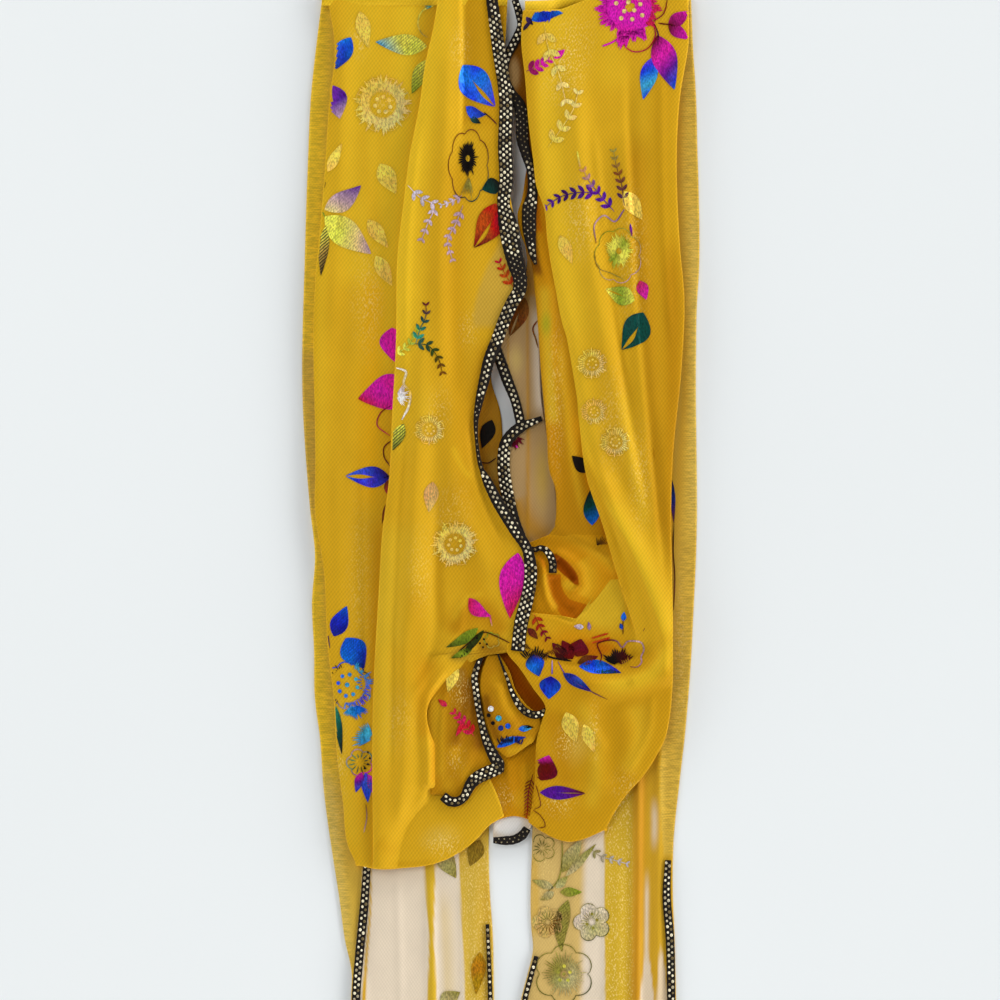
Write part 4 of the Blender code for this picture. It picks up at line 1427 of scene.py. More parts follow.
@dataclass
class DoubledTop:
    """Where the net turns half round from the tails underneath up to the front panels."""

    radius: float = 3.75
    left_places: tuple[float, ...] = (-89, 3.4)
    right_places: tuple[float, ...] = (12.5, 20, 27, 40, 55, 75, 94)
    right_dips: tuple[float, ...] = (4.8, 4.6, 4.2, 0, 0, 0, 0)
    under_tail: float = 3.0
    step: float = 1.2
    arc_rows: int = 19
    lowest_top: float = 5.3
    below_net: float = 0.42
    foot: float = 0.4
    tail_drop: float = 0.3
    flat_wide: Pair = (0.083, 0.0815)
    flat_long: float = 0.0118

    def turn(self, name: str, places: tuple[float, ...], dips: tuple[float, ...], hosts: tuple[Net, ...],
             node: str, wardrobe: Wardrobe) -> Piece:
        """A half tube: down = dip - radius cos(a), z = top (1 + sin(a)) / 2, a from -90 to 90 degrees.

        Its top lies just below the highest net that starts on it, and runs on flat under that net.

        Args:
            name: the piece's name.
            places: x of the places where the dip is known.
            dips: how far down the middle of the half circle lies there.
            hosts: the stretches of net that start on it.
            node: the solid that it replaces.
            wardrobe: the finishes.

        Returns:
            The piece.
        """
        across = np.arange(places[0], places[-1] + self.step / 2, self.step)
        dip = np.interp(across, places, dips)
        tops = np.max([
            np.where(host.covers(across, dip + 1.0), host.height(across, dip + 1.0), self.lowest_top)
            for host in hosts], axis=0) - self.below_net
        tops = np.convolve(np.pad(tops, 2, mode="edge"), np.full(5, 0.2), mode="valid")
        angle = np.radians(np.linspace(-90, 90, self.arc_rows))[:, None]
        down = np.concatenate([dip - self.radius * np.cos(angle), (dip + self.under_tail)[None, :]])
        turned = self.foot + (tops - self.foot) * (1 + np.sin(angle)) / 2
        z = np.concatenate([turned, tops[None, :] - self.tail_drop])
        wall = shell(to_world(across + 0 * down, down, z)[::-1], NET_WALL * MM)
        return plain_net(name, node, wall, Dye.LIT, wardrobe)

    def build(self, left: tuple[Net, ...], right: tuple[Net, ...],
              wardrobe: Wardrobe) -> tuple[Piece, Piece]:
        """Both turns.

        Args:
            left: the stretches of net that start on the left one.
            right: those that start on the right one.
            wardrobe: the finishes.

        Returns:
            The left and the right turn.
        """
        flat = (0.0,) * len(self.left_places)
        return (
            self.turn("net_top_turn_left", self.left_places, flat, left, "top_turn_left", wardrobe),
            self.turn("net_top_turn_right", self.right_places, self.right_dips, right,
                      "top_turn_right", wardrobe))


@dataclass
class LeftRun:
    """The left run: its under layer, its front panel, and the small flap that hangs below it."""

    under_size: Pair = (0.078, 0.434)
    panel_size: Pair = (0.062, 0.434)
    flap_size: Pair = (0.029, 0.072)

    def under(self) -> Net:
        """The under layer with the left half of the swag's bottom edge."""
        return Net(
            "net_swag_left", Slot.YELLOW, SWAG_LEFT_EDGE,
            ((0, 3.8), (12, 3.2), (22, 2.6), (34, 0.5), (50, 0), (100, 0.5), (140, 2), (180, -8),
                (215, -15), (240, -11), (262, -1), (286, 6), (300, 2), (325, -10), (377, -10), (401, 0),
                (421, 5), (434, 5)),
            straight(-1.5),
            ((0, 432.5), (0.12, 434.5), (0.29, 434), (0.52, 431.5), (0.66, 427), (0.79, 420), (0.87, 414),
                (1, 408)),
            level(UNDER), rows=((390, 1.5), (435, 1)), columns=((0.45, 0.014), (1, 0.02)), base=Dye.OCHRE,
            flat=self.under_size, rests_on=("net_tail_left",), rise=(0.9, 0), turn_left=0.7,
            turn_bottom=0.9,
            folds=(
                Streak(0.8, 3, 5, ((-78, 6), (-80, 90), (-84, 180))),
                Streak(0.7, 5, 3, ((-62, 40), (-70, 150), (-76, 260), (-76, 330))),
                Streak(0.6, 3, 3, ((-82, 210), (-80, 300), (-74, 380), (-66, 425))),
                Streak(-0.5, 2, 2, ((-70, 220), (-68, 320), (-67, 400))),
                Streak(0.7, 5, 5, ((-40, 415), (-20, 416), (0, 404)), ends=0.3)),
            tones_and_shading=(
                Streak(0.8, 12, 14, ((-66, -20), (-70, 60), (-72, 150)), Dye.LIT, ends=0.1),
                # painted highlight, lightening the shade beside the panel's fold edge
                Streak(0.9, 10, 6, ((-44, -20), (-47, 60), (-53, 140), (-57, 200)), Dye.SUN, ends=0.1),
                Streak(0.8, 6, 6, ((-62, 130), (-64, 200), (-66, 262)), Dye.GOLD, ends=0.15),
                # painted shade just left of the panel's fold edge
                Streak(0.5, 5, 2, ((-60, 255), (-61, 290), (-63.5, 350)), Dye.AMBER),
                Streak(0.6, 7, 3, ((0, -20), (1, 20), (2, 60)), Dye.DUSK, ends=0.1),
                Streak(0.5, 3, 5, ((-88, 60), (-90, 150), (-90, 250)), Dye.LIT),
                Streak(0.5, 4, 4, ((-80, 340), (-78, 390), (-72, 428)), Dye.HONEY),
                Streak(0.45, 5, 3, ((-70, 60), (-66, 90), (-60, 120)), Dye.OCHRE),
                Cloud(0.35, -30, 418, 14, 9, Dye.PALE_BAND, turn=-15),
                Streak(0.6, 3, 1, ((-66, 431), (-50, 431.5), (-30, 430)), Dye.DEEP, ends=0.2)),
            flecks=(
                Cloud(0.5, -66, 150, 12, 40), Cloud(0.8, -28, 422, 14, 9), Cloud(0.5, -80, 380, 6, 40),
                Cloud(0.6, -56, 52, 12, 18), Cloud(0.5, -70, 20, 8, 14), Cloud(0.35, -70, 290, 10, 60)))

    def panel(self, under: Net, flap: Net) -> Net:
        """The front panel, whose low edge runs out on the flap and on the under layer."""
        return Net(
            "net_panel_left", Slot.YELLOW, FOLD_LEFT, FRONT_LEFT_SELVAGE, straight(-1.5), straight(434),
            ((0, FRONT), (325, FRONT), (345, FRONT - 0.6), (400, FRONT - 0.4), (434, TURNED + 0.6)),
            rows=((434, 1.25),), columns=((1, 0.0165),), base=Dye.OCHRE, flat=self.panel_size,
            rests_on=("net_swag_left",), rise=(3, 0), turn_left=1.3, turn_bottom=0.7,
            meets=(
                Meeting(flap,
                    Streak(1, 3.2, 8, ((-14, 328), (-18, 334), (-31, 345), (-31.5, 372), (-31.5, 401)),
                        ends=0.04),
                    level(-0.2), dyed=0),
                Meeting(under,
                    Streak(1, 7, 12, ((-31.5, 393), (-34, 401), (-42, 409), (-48, 424), (-50, 440)),
                        ends=0.06),
                    level(-0.2), dyed=0.7)),
            folds=(
                Streak(2, 5, 5, ((-26, 10), (-27, 60), (-30, 120), (-28, 210))),
                Streak(-1.6, 1.6, 6, ((-18.4, -30), (-18, 20), (-18, 50), (-19, 75)), ends=0.2),
                Streak(2.4, 5.5, 7, ((-36, 150), (-41, 230), (-45, 330))),
                Streak(2, 6, 7, ((-26, 190), (-18, 262), (0, 292))),
                Streak(1.8, 4, 6, ((-48, 300), (-47, 360), (-50, 420))),
                Streak(2.4, 3, 4, ((-24, 328), (-35, 350), (-36, 395), (-46, 415))),
                Streak(-1.2, 2.5, 4.5, ((-14, 205), (-12, 232), (-5, 256), (4, 275))),
                Streak(-0.8, 2, 3, ((-45, 205), (-50, 260), (-53, 340), (-54, 400))),
                Streak(-1, 3, 3, ((-30, 240), (-32, 290), (-33, 325), (-41, 345))),
                Streak(0.9, 2.5, 2.5, ((-18, 296), (-21, 316), (-32, 332), (-46, 350))),
                Streak(0.6, 3, 2, ((-40, 60), (-46, 120), (-47, 200)))),
            tones_and_shading=(
                # painted highlights along the fold edge, fading to the right
                Streak(0.85, 2, 12, ((-31, -25), (-37.3, 32), (-45.5, 80), (-51, 125), (-53, 190)), Dye.SUN,
                    ends=0.1),
                Streak(0.7, 2, 12, ((-52, 171), (-54, 210), (-55, 235)), Dye.LIT, ends=0.3),
                Streak(0.75, 3, 18, ((-58, 255), (-60.5, 294), (-62, 330)), Dye.HONEY, ends=0.2),
                # painted shade, darker towards the trim on the right
                Streak(0.75, 8, 5, ((-21, 70), (-22, 150), (-20, 200), (-16, 262)), Dye.DEEP, ends=0.1),
                Streak(0.6, 5, 5, ((-42, 286), (-42, 320), (-41, 366)), Dye.DEEP, ends=0.2),
                Cloud(0.9, -12, 300, 9, 22, Dye.DEEP), Cloud(0.9, -20, 327, 8, 6, Dye.KHAKI),
                Cloud(0.8, -11, 344, 5, 16, Dye.KHAKI),
                Strip(0.85, ((-9, -17), (20, -17.5), (50, -18.2), (68, -19)), ((-9, 20), (68, 20)),
                    Dye.DEEP, fade=9),
                # painted shade along the trim
                Streak(0.6, 9, 3, ((-6, -20), (0, 50), (2, 100), (5, 125)), Dye.DEEP, ends=0.1),
                Streak(0.5, 7, 3, ((2, 90), (4, 115), (8, 138)), Dye.DUSK),
                Strip(0.6, ((112, 1), (120, 0), (135, -7), (150, -12), (166, -14)),
                    ((112, 20), (120, 20), (135, 20), (150, 20), (166, 20)), Dye.ASH, soft=3),
                Streak(0.6, 6, 3, ((-4, 168), (-11, 195), (-12, 222), (-8, 240)), Dye.DUSK),
                Streak(0.55, 4, 10, ((-14, 232), (-10, 252), (-2, 272), (0, 296)), Dye.DEEP),
                Streak(0.5, 12, 8, ((-16, 236), (-16, 270), (-14, 300)), Dye.DEEP),
                Streak(0.6, 2.5, 4, ((-30, 262), (-31, 290), (-28, 318)), Dye.DEEP),
                Streak(0.9, 9, 6, ((-24, 320), (-16, 306), (-8, 305), (2, 320)), Dye.DUSK),
                Streak(0.7, 6, 6, ((-14, 324), (-2, 326), (6, 324)), Dye.UMBER, ends=0.3),
                Streak(0.6, 3, 8, ((-36, 326), (-40, 345), (-38, 372)), Dye.AMBER),
                Streak(0.75, 2, 6, ((-33, 342), (-32.5, 370), (-33, 396)), Dye.AMBER),
                # painted highlight inside the lower fold edge
                Streak(0.7, 5, 5, ((-56, 268), (-58, 310), (-58, 350), (-57, 390)), Dye.HONEY),
                Streak(0.5, 5, 7, ((-45, 336), (-47, 370), (-48, 410)), Dye.OCHRE),
                Streak(0.6, 4, 4, ((-62, 420), (-56, 424), (-50, 426)), Dye.DEEP),
                Cloud(0.5, -38, 205, 7, 20, Dye.HONEY),
                # painted highlights on two thin crease lines
                Streak(0.4, 1.5, 1.5, ((-24, 222), (-20, 232), (-14, 240)), Dye.LIT),
                Streak(0.4, 1.5, 1.5, ((-7, 296), (-18, 300), (-24, 312)), Dye.LIT),
                Cloud(0.6, -20, 327, 9, 6, Dye.KHAKI), Cloud(0.4, -12, 345, 12, 14, Dye.DUSK)),
            flecks=(
                Cloud(0.6, -20, 24, 7, 18), Cloud(0.5, -16, 165, 7, 14), Cloud(0.5, -30, 205, 9, 18),
                Cloud(0.4, -40, 285, 9, 30), Cloud(0.4, -24, 256, 14, 24), Cloud(0.35, -50, 360, 10, 22)))

    def flap(self) -> Net:
        """The small flap whose edge shows the braid on two sides."""
        return Net(
            "net_flap_left", Slot.ORANGE, ((328, -26), (335, -31), (345, -34.5), (404, -34.5)),
            ((328, -9), (335, -12.5), (345, -13), (356, -11), (366, -9), (376, -5.5), (384, 0.4),
                (404, 0.4)),
            straight(328),
            ((0, 397), (0.14, 397.4), (0.34, 403.4), (0.49, 400), (0.71, 391), (0.85, 388.5), (1, 384)),
            level(TURNED), rows=((404, 0.9),), columns=((1, 0.03),), base=Dye.DUSK, flat=self.flap_size,
            rests_on=("net_swag_left",), area=0.0017,
            folds=(
                Streak(1, 3.5, 3.5, ((-18, 334), (-22, 358), (-26, 384))),
                Streak(0.9, 3, 3, ((-12, 366), (-17, 384), (-20, 396))),
                Streak(0.5, 1.2, 2.4, ((-26, 338), (-29, 360), (-30, 390))),
                Streak(0.5, 1.6, 1.6, ((-14, 340), (-16, 356), (-22, 372)))),
            tones_and_shading=(
                Streak(0.7, 5, 4, ((-31, 345), (-31, 368), (-30, 392)), Dye.OCHRE),
                Streak(0.6, 3, 3, ((-20, 330), (-18, 352), (-24, 376)), Dye.UMBER),
                Streak(0.8, 4, 4, ((-14, 336), (-13.5, 350), (-12, 364), (-9, 378)), Dye.UMBER),
                Streak(0.7, 4, 5, ((-24, 372), (-20, 384), (-14, 390)), Dye.DEEP),
                Cloud(0.6, -23, 338, 7, 8, Dye.ASH), Cloud(0.5, -26, 392, 7, 7, Dye.OCHRE)),
            flecks=(Cloud(0.6, -20, 345, 8, 14), Cloud(0.35, -22, 380, 8, 12)))


@dataclass
class RightRun:
    """The right run: its deeper layer, its front panel and the right lobe of the swag."""

    deep_size: Pair = (0.070, 0.322)
    panel_size: Pair = (0.062, 0.317)
    lobe_size: Pair = (0.060, 0.103)

    def deep(self) -> Net:
        """The deeper, more orange layer."""
        return Net(
            "net_inner_right", Slot.ORANGE, INNER_RIGHT_SELVAGE,
            ((1.5, 89), (48, 87), (147, 89), (187, 87), (226, 83.5), (328, 83)), straight(6.5),
            straight(328), ((0, UNDER), (272, UNDER), (286, UNDER - 1.1), (328, UNDER - 1.1)),
            rows=((328, 1.3),), columns=((0.55, 0.017), (1, 0.09)), base=Dye.DUSK, flat=self.deep_size,
            rests_on=("net_tail_right",),
            folds=(
                Streak(1.1, 3, 4, ((24, 128), (28, 190), (34, 252))),
                Streak(0.7, 2, 3.5, ((32, 190), (38, 240), (46, 275))),
                Streak(-0.5, 2, 2, ((27, 150), (30, 215), (33, 255))),
                Streak(0.8, 2, 4, ((26, 262), (38, 268), (50, 276)))),
            tones_and_shading=(
                Streak(0.8, 3, 3, ((22, 60), (20, 100), (24, 150), (26, 215), (30, 262)), Dye.AMBER),
                Streak(0.6, 2, 3, ((29, 165), (34, 215), (42, 262)), Dye.OCHRE),
                Streak(0.8, 3, 3, ((22, 140), (24, 180), (27, 215)), Dye.HONEY, ends=0.1),
                Strip(0.9, ((44, 9), (80, 12), (118, 16)), ((44, 13), (80, 16), (118, 22)), Dye.EMBER,
                    soft=1.5, fade=4),
                Streak(0.85, 3, 3, ((38, 205), (44, 238), (52, 262)), Dye.AMBER),
                Streak(0.6, 3, 1.5, ((43, 225), (50, 250), (56, 275)), Dye.RUST),
                Streak(0.8, 4, 4, ((27, 268), (36, 272), (50, 284)), Dye.DUSK),
                Strip(0.9, ((-9, 0), (30, 0), (60, 9), (131, 15), (140, 17)),
                    ((-9, 30), (30, 14), (60, 17), (131, 20), (140, 22)), Dye.UMBER, soft=2),
                Cloud(0.8, 7, 37, 4, 11, Dye.BEIGE, core=0.4), Cloud(0.6, 23, 162, 4, 9, Dye.LEAF),
                Streak(0.7, 1.5, 3, ((8, 250), (12, 260), (17, 271)), Dye.EMBER)),
            flecks=(Cloud(0.5, 28, 200, 6, 60),))

    def panel(self) -> Net:
        """The front panel."""
        return Net(
            "net_panel_right", Slot.YELLOW, FOLD_RIGHT, FRONT_RIGHT_EDGE, TOP_RIGHT, straight(317.3),
            level(FRONT), rows=((317.3, 1.2),), columns=((1, 0.0165),), base=Dye.OCHRE,
            flat=self.panel_size, rests_on=("net_inner_right",), rise=(3.2, 1), turn_left=1.3,
            turn_right=0.9, folds=self.panel_folds(), tones_and_shading=self.panel_paint(),
            flecks=(
                Cloud(0.8, 34, 30, 16, 34, turn=15), Cloud(0.6, 40, 110, 12, 30),
                Cloud(0.5, 56, 210, 10, 40), Cloud(0.4, 66, 130, 12, 50), Cloud(0.4, 70, 240, 8, 40),
                Cloud(0.5, 62, 12, 10, 14)))

    @staticmethod
    def panel_folds() -> tuple[Streak, ...]:
        """The long folds, and the bright ridge that runs on into the lobe."""
        return (
            Streak(2.6, 5, 6, ((34, 20), (44, 120), (58, 200), (72, 262))),
            Streak(2, 5, 6, ((62, 60), (68, 150), (76, 230))),
            Streak(3.2, 4.5, 6.5, ((44, 225), (55, 252), (72, 285), (81, 312), (84, 345))),
            Streak(-1.3, 2, 3, ((64, 20), (66, 90), (70, 160), (78, 240), (84, 300))),
            Streak(-1, 2, 3, ((50, 100), (58, 160), (66, 215), (76, 262))),
            Streak(0.8, 2, 2, ((46, 60), (54, 130), (66, 200))),
            Streak(-0.9, 2, 2.5, ((30, 150), (40, 205), (52, 250), (64, 285))),
            Streak(0.6, 1.6, 2, ((80, 20), (82, 120), (86, 180))))

    @staticmethod
    def panel_paint() -> tuple[Mark, ...]:
        """Light on the folds, shade between them, and the prints behind."""
        return (
            Streak(0.9, 4, 18, ((26, -30), (22, 60), (27, 120), (34, 181)), Dye.LIT, ends=0.1),
            Streak(0.7, 3, 10, ((34, 160), (39.5, 214), (43.5, 240)), Dye.LIT, ends=0.3),
            Streak(0.55, 9, 7, ((56, -40), (56, 20), (58, 50)), Dye.LIT),
            Streak(0.7, 4, 9, ((66, 60), (69, 110), (75, 190), (82, 280)), Dye.DUSK, ends=0.1),
            Streak(0.6, 4, 12, ((78, 20), (80, 100), (86, 190), (88, 260)), Dye.DEEP, ends=0.1),
            Streak(0.8, 4, 8, ((84, 110), (86, 180), (86, 240), (86, 300)), Dye.DUSK),
            Streak(0.4, 4, 4, ((50, 100), (58, 160), (66, 215)), Dye.DEEP),
            Strip(0.75, ((246, 42), (262, 50), (286, 57), (300, 61), (326, 69)),
                ((246, 51.5), (262, 59), (272, 64.6), (284, 70), (296, 74.5), (310, 79.5), (326, 84)),
                Dye.OCHRE, soft=1, fade=10),
            Streak(0.9, 0.8, 6,
                ((51, 247), (59, 262), (65, 272), (70, 284), (74.5, 296), (79.5, 310), (83, 322)), Dye.LIT,
                ends=0.15),
            Streak(0.7, 4, 1.5, ((42, 226), (51, 253), (60, 280), (66, 306)), Dye.DEEP),
            Streak(0.45, 3, 3, ((60, 190), (66, 230), (74, 268)), Dye.HONEY))

    def lobe(self, panel: Net) -> Net:
        """The right lobe of the swag: its lip, the small turned-back corner over it, and the hanging part."""
        return Net(
            "net_swag_right", Slot.YELLOW, SWAG_RIGHT_INNER, SWAG_RIGHT_OUTER,
            ((0, 305.6), (0.2, 307), (0.3, 308), (0.386, 309.4), (0.635, 283), (0.68, 284), (0.736, 300),
                (1, 306)),
            ((0, 411), (0.2, 416), (0.4, 419.5), (0.6, 420.8), (0.8, 419), (1, 415)),
            ((283, FRONT - 1.1), (300, FRONT - 0.9), (311, FRONT - 0.2), (317, FRONT), (340, FRONT + 0.6),
                (365, FRONT - 0.6), (395, UNDER + 1.2), (421, UNDER)),
            rows=((421, 0.9),), columns=((1, 0.014),), base=Dye.DEEP, flat=self.lobe_size,
            rests_on=("net_inner_recess", "net_tail_right"), rise=(0.6, 0.4), turn_bottom=0.9,
            turn_right=0.8,
            meets=(
                Meeting(panel, Strip(1, ((284, 65), (331, 65)), ((284, 99), (331, 99)), soft=6, fade=13),
                    ((300, -1.8), (308, -1.5), (315.4, 0.1), (330, 0))),),
            folds=(
                Streak(-0.8, 1, 1.2, ((9, 305.6), (24, 307), (38.6, 309.6), (39, 309.2), (58, 282.8)),
                    ends=0.02),
                Streak(3, 5, 7, ((82, 300), (82, 326), (74, 338), (56, 343), (34, 340))),
                Streak(1.6, 6, 6, ((40, 345), (46, 370), (50, 400))),
                Streak(1.2, 5, 5, ((60, 350), (64, 370), (62, 392))),
                Streak(-1, 2.5, 2.5, ((24, 330), (45, 333), (62, 331), (74, 322))),
                Streak(0.7, 2.5, 2.5, ((30, 352), (36, 362), (48, 366), (52, 378))),
                Streak(0.6, 2, 2, ((76, 345), (74, 366), (64, 386))),
                Streak(3.2, 4.5, 6.5, ((78, 296), (81, 312), (84, 345)))),
            tones_and_shading=(
                Cloud(0.85, 50, 300, 26, 22, Dye.HONEY, core=0.4),
                # painted shade in the hollow behind the ridge
                Cloud(0.95, 36, 322, 30, 13, Dye.AMBER, core=0.2),
                Cloud(0.9, 45, 324.5, 20, 6.5, Dye.EMBER, core=0.3), Cloud(0.5, 22, 314, 14, 9, Dye.OCHRE),
                Streak(0.7, 3, 4, ((14, 312), (20, 318), (26, 326)), Dye.DUSK),
                # painted highlight along the ridge
                Streak(0.95, 3, 5, ((82, 306), (83, 322), (78, 334), (62, 341), (44, 342)), Dye.LIT,
                    ends=0.25),
                Streak(0.5, 4, 7, ((66, 350), (70, 366), (62, 388)), Dye.HONEY),
                Streak(0.55, 4, 4, ((38, 348), (44, 360), (48, 385), (44, 408)), Dye.HONEY),
                Streak(0.7, 5, 5, ((24, 352), (30, 372), (34, 396)), Dye.DUSK),
                Streak(0.6, 4, 1.5, ((18, 372), (17.5, 390), (16, 408)), Dye.DUSK),
                Streak(0.5, 4, 4, ((86, 340), (80, 366), (66, 392), (50, 410)), Dye.DEEP),
                Cloud(0.35, 40, 372, 9, 16, Dye.PALE_BAND, 20), Cloud(0.4, 26, 405, 10, 8, Dye.DUSK)),
            flecks=(
                Cloud(0.9, 34, 370, 9, 14, turn=30), Cloud(0.7, 47, 366, 4, 22),
                Cloud(0.6, 30, 402, 12, 10), Cloud(0.4, 62, 392, 10, 12)))


@dataclass
class Middle:
    """The small stretches that show in the middle, where the two runs part."""

    sheer_size: Pair = (0.020, 0.155)
    recess_size: Pair = (0.028, 0.089)
    patch_size: Pair = (0.026, 0.025)
    pocket_size: Pair = (0.022, 0.050)
    swirl_size: Pair = (0.041, 0.047)

    def sheer(self) -> Net:
        """The single sheer strip."""
        return Net(
            "net_inner_sheer", Slot.CREAM, INNER_SHEER_SELVAGE,
            ((120, 19.5), (180, 20), (202, 21), (214, 23), (230, 26), (245, 28), (275, 29)), straight(120),
            straight(275), level(MIDDLE), rows=((275, 1),), columns=((1, 0.04),), base=Dye.BEIGE,
            flat=self.sheer_size, rests_on=("net_tail_right",), area=0.0028,
            folds=(Streak(0.35, 0.8, 1.4, ((13.5, 150), (13.8, 205), (13.6, 270))),),
            tones_and_shading=(
                Streak(0.8, 0.7, 1.2, ((13.5, 140), (13.8, 205), (13.6, 280)), Dye.DUSK, ends=0.1),
                Streak(0.6, 0.5, 0.5, ((4, 165), (5, 190), (8, 200)), Dye.DUSK),
                # painted light over the shadow of the step up to the deeper layer on the right
                Streak(0.8, 3, 3, ((18.5, 150), (19, 180), (21, 212)), Dye.CREAM, ends=0.2),
                Strip(0.7, ((118, -9), (150, -9)), ((118, 40), (150, 40)), Dye.AMBER, fade=4),
                Streak(0.8, 6, 6, ((6, 250), (14, 262), (24, 270)), Dye.DUSK, ends=0.1),
                Cloud(0.6, 21, 238, 6, 26, Dye.BAND), Cloud(0.6, 8, 180, 6, 12, Dye.SAND)))

    def recess(self) -> Net:
        """The net behind the small pocket."""
        return Net(
            "net_inner_recess", Slot.ORANGE, ((322, -12), (345, -13), (370, -12), (390, -6), (412, -4)),
            ((322, 20), (345, 25), (370, 24), (390, 20), (412, 18)), straight(322),
            ((0, 411), (0.5, 408), (1, 411)), level(MIDDLE), rows=((412, 1.1),), columns=((1, 0.035),),
            base=Dye.AMBER, flat=self.recess_size, rests_on=("net_tail_left", "net_tail_right"),
            folds=(
                Streak(0.5, 2, 3, ((4, 376), (5, 392), (8, 406))),
                Streak(0.5, 2, 2, ((12, 378), (12, 394), (12, 408)))),
            tones_and_shading=(
                # painted shade along the lobe's edge, which stands over this net
                Streak(1, 8, 9, ((0, 322), (6, 335), (14, 348), (22, 356)), Dye.RUST, ends=0.03),
                Streak(0.6, 4, 4, ((0, 384), (0, 394), (4, 402)), Dye.DUSK),
                Streak(0.5, 4, 4, ((14, 380), (15, 394), (14, 408)), Dye.DEEP),
                Cloud(0.6, -2, 403, 6, 7, Dye.ASH), Cloud(0.5, 10, 400, 6, 8, Dye.OCHRE)),
            flecks=(Cloud(0.6, 2, 398, 8, 10),))

    def patch(self) -> Net:
        """The sheer patch above the gap between the tails."""
        return Net(
            "net_hem_patch", Slot.CREAM, ((395, -3.4), (421, -3.4)), ((395, 17), (421, 15)), straight(395),
            ((0, 420.6), (0.5, 421), (0.8, 418.6), (1, 413)), level(ON_TAILS), rows=((421, 0.9),),
            columns=((1, 0.035),), base=Dye.CREAM, flat=self.patch_size,
            rests_on=("net_tail_left", "net_tail_right"),
            tones_and_shading=(Cloud(0.9, 4, 412, 10, 8, Dye.WHITE, core=0.5),))

    def pocket(self) -> Net:
        """The petal-shaped fold."""
        return Net(
            "net_pocket_fold", Slot.YELLOW,
            ((327, -6), (335, -9), (345, -10), (352, -8.6), (362, -7), (368, -4.8), (378, -1.2)),
            ((327, -0.5), (335, 4.5), (345, 8), (352, 13), (358, 19.5), (362, 20.5), (368, 18.3),
                (378, 12)),
            straight(327), ((0, 374), (0.25, 378), (0.6, 377.5), (1, 371)), level(TURNED),
            rows=((378, 0.9),), columns=((1, 0.035),), base=Dye.DUSK, flat=self.pocket_size,
            rests_on=("net_inner_recess",), area=0.00095,
            folds=(
                Streak(1.4, 3, 3, ((-2, 340), (2, 356), (10, 366))),
                Streak(0.5, 1, 1.8, ((-6, 345), (-2, 362), (4, 374)))),
            tones_and_shading=(
                Streak(0.6, 3, 3, ((-4, 335), (2, 350), (8, 360)), Dye.DEEP),
                Streak(0.7, 2, 3, ((-8, 345), (-5, 362), (0, 372)), Dye.UMBER),
                Streak(0.6, 2, 2, ((2, 376), (10, 375), (17, 368)), Dye.OCHRE)))

    def swirl(self, deep: Net) -> Net:
        """The turned net below the small hook of braid: it leaves the deeper layer and rolls into a hollow."""
        return Net(
            "net_swirl", Slot.ORANGE, ((262, 16), (270, 13.5), (290, 12), (317, 9)),
            ((262, 52), (275, 58), (290, 62), (310, 69), (317, 72)),
            ((0, 272), (0.12, 269.6), (0.25, 267.4), (0.34, 262), (1, 262)), straight(317),
            ((262, UNDER), (276, TURNED), (298, TURNED), (306, TURNED - 0.3), (317, UNDER + 0.7)),
            rows=((317, 0.6),), columns=((1, 0.0125),), base=Dye.AMBER, flat=self.swirl_size,
            rests_on=("net_inner_right",),
            meets=(
                Meeting(deep, Strip(1, ((244, 5), (280, 5)), ((244, 90), (280, 90)), fade=10),
                    ((262, -0.6), (268.5, 0.12), (290, 0.12)), dyed=0.4),),
            folds=(
                Streak(1.2, 3, 4, ((28, 268), (38, 273), (50, 281), (62, 288))),
                Streak(1.7, 1.4, 3,
                    ((27, 274.5), (32.5, 278), (37.5, 282.5), (41, 287.5), (41.6, 292.5), (39.4, 297),
                        (35, 298)),
                    ends=0.12),
                Streak(-1.5, 2.6, 2.6, ((28, 279), (32, 282.5), (36, 287.5), (38, 291.5)), ends=0.1),
                Streak(0.6, 2, 2, ((32, 288), (34.6, 292), (37, 294.4)), ends=0.2),
                Streak(1.1, 1.6, 1.6, ((20, 278), (22, 288), (22.6, 297), (27, 306))),
                Streak(-1.1, 3, 3, ((26, 288), (27, 296), (31, 303), (38, 307)), ends=0.1)),
            tones_and_shading=(
                # painted light and shade on the rolled lip: lighter streaks and a light spot on it, a thin
                # dark line above it
                Streak(0.8, 3, 5, ((22, 262), (34, 267), (50, 277), (62, 286)), Dye.OCHRE, ends=0.1),
                Streak(0.6, 1.2, 1.6, ((32, 266), (44, 272), (56, 279)), Dye.DUSK, ends=0.2),
                Streak(0.7, 3, 5, ((40, 279), (44, 286), (44, 293), (41, 299)), Dye.OCHRE, ends=0.1),
                Cloud(0.8, 34.5, 292.5, 5, 4, Dye.OCHRE, 30, 0.3),
                # painted shade deep in the hollow
                Strip(1, ((276.4, 26), (284, 28.2), (286.4, 30.6), (289, 33.8), (292.8, 38)),
                    ((276.4, 27.4), (278.4, 30.5), (282, 34.7), (285.8, 37.7), (289.2, 39.2),
                        (292.8, 39.3)),
                    Dye.RUST, soft=0.6, fade=0.8),
                Strip(1, ((286.6, 22.7), (290.4, 23), (295.5, 24.5), (301.6, 27), (306.6, 30), (312, 34)),
                    ((286.6, 30.4), (290, 30.4), (293.5, 31), (297.5, 33), (300, 36), (302, 42.5),
                        (304, 46), (312, 46)),
                    Dye.EMBER, soft=0.6, fade=0.8),
                Streak(0.7, 1.4, 1.4, ((18.5, 276), (21, 280), (23.4, 285)), Dye.EMBER, ends=0.3),
                Streak(0.6, 2, 1, ((22.6, 286), (23.6, 293), (26, 300), (29, 305)), Dye.OCHRE, ends=0.1),
                Streak(0.5, 2, 2, ((17.4, 280), (17.8, 290), (17, 306)), Dye.DUSK)))


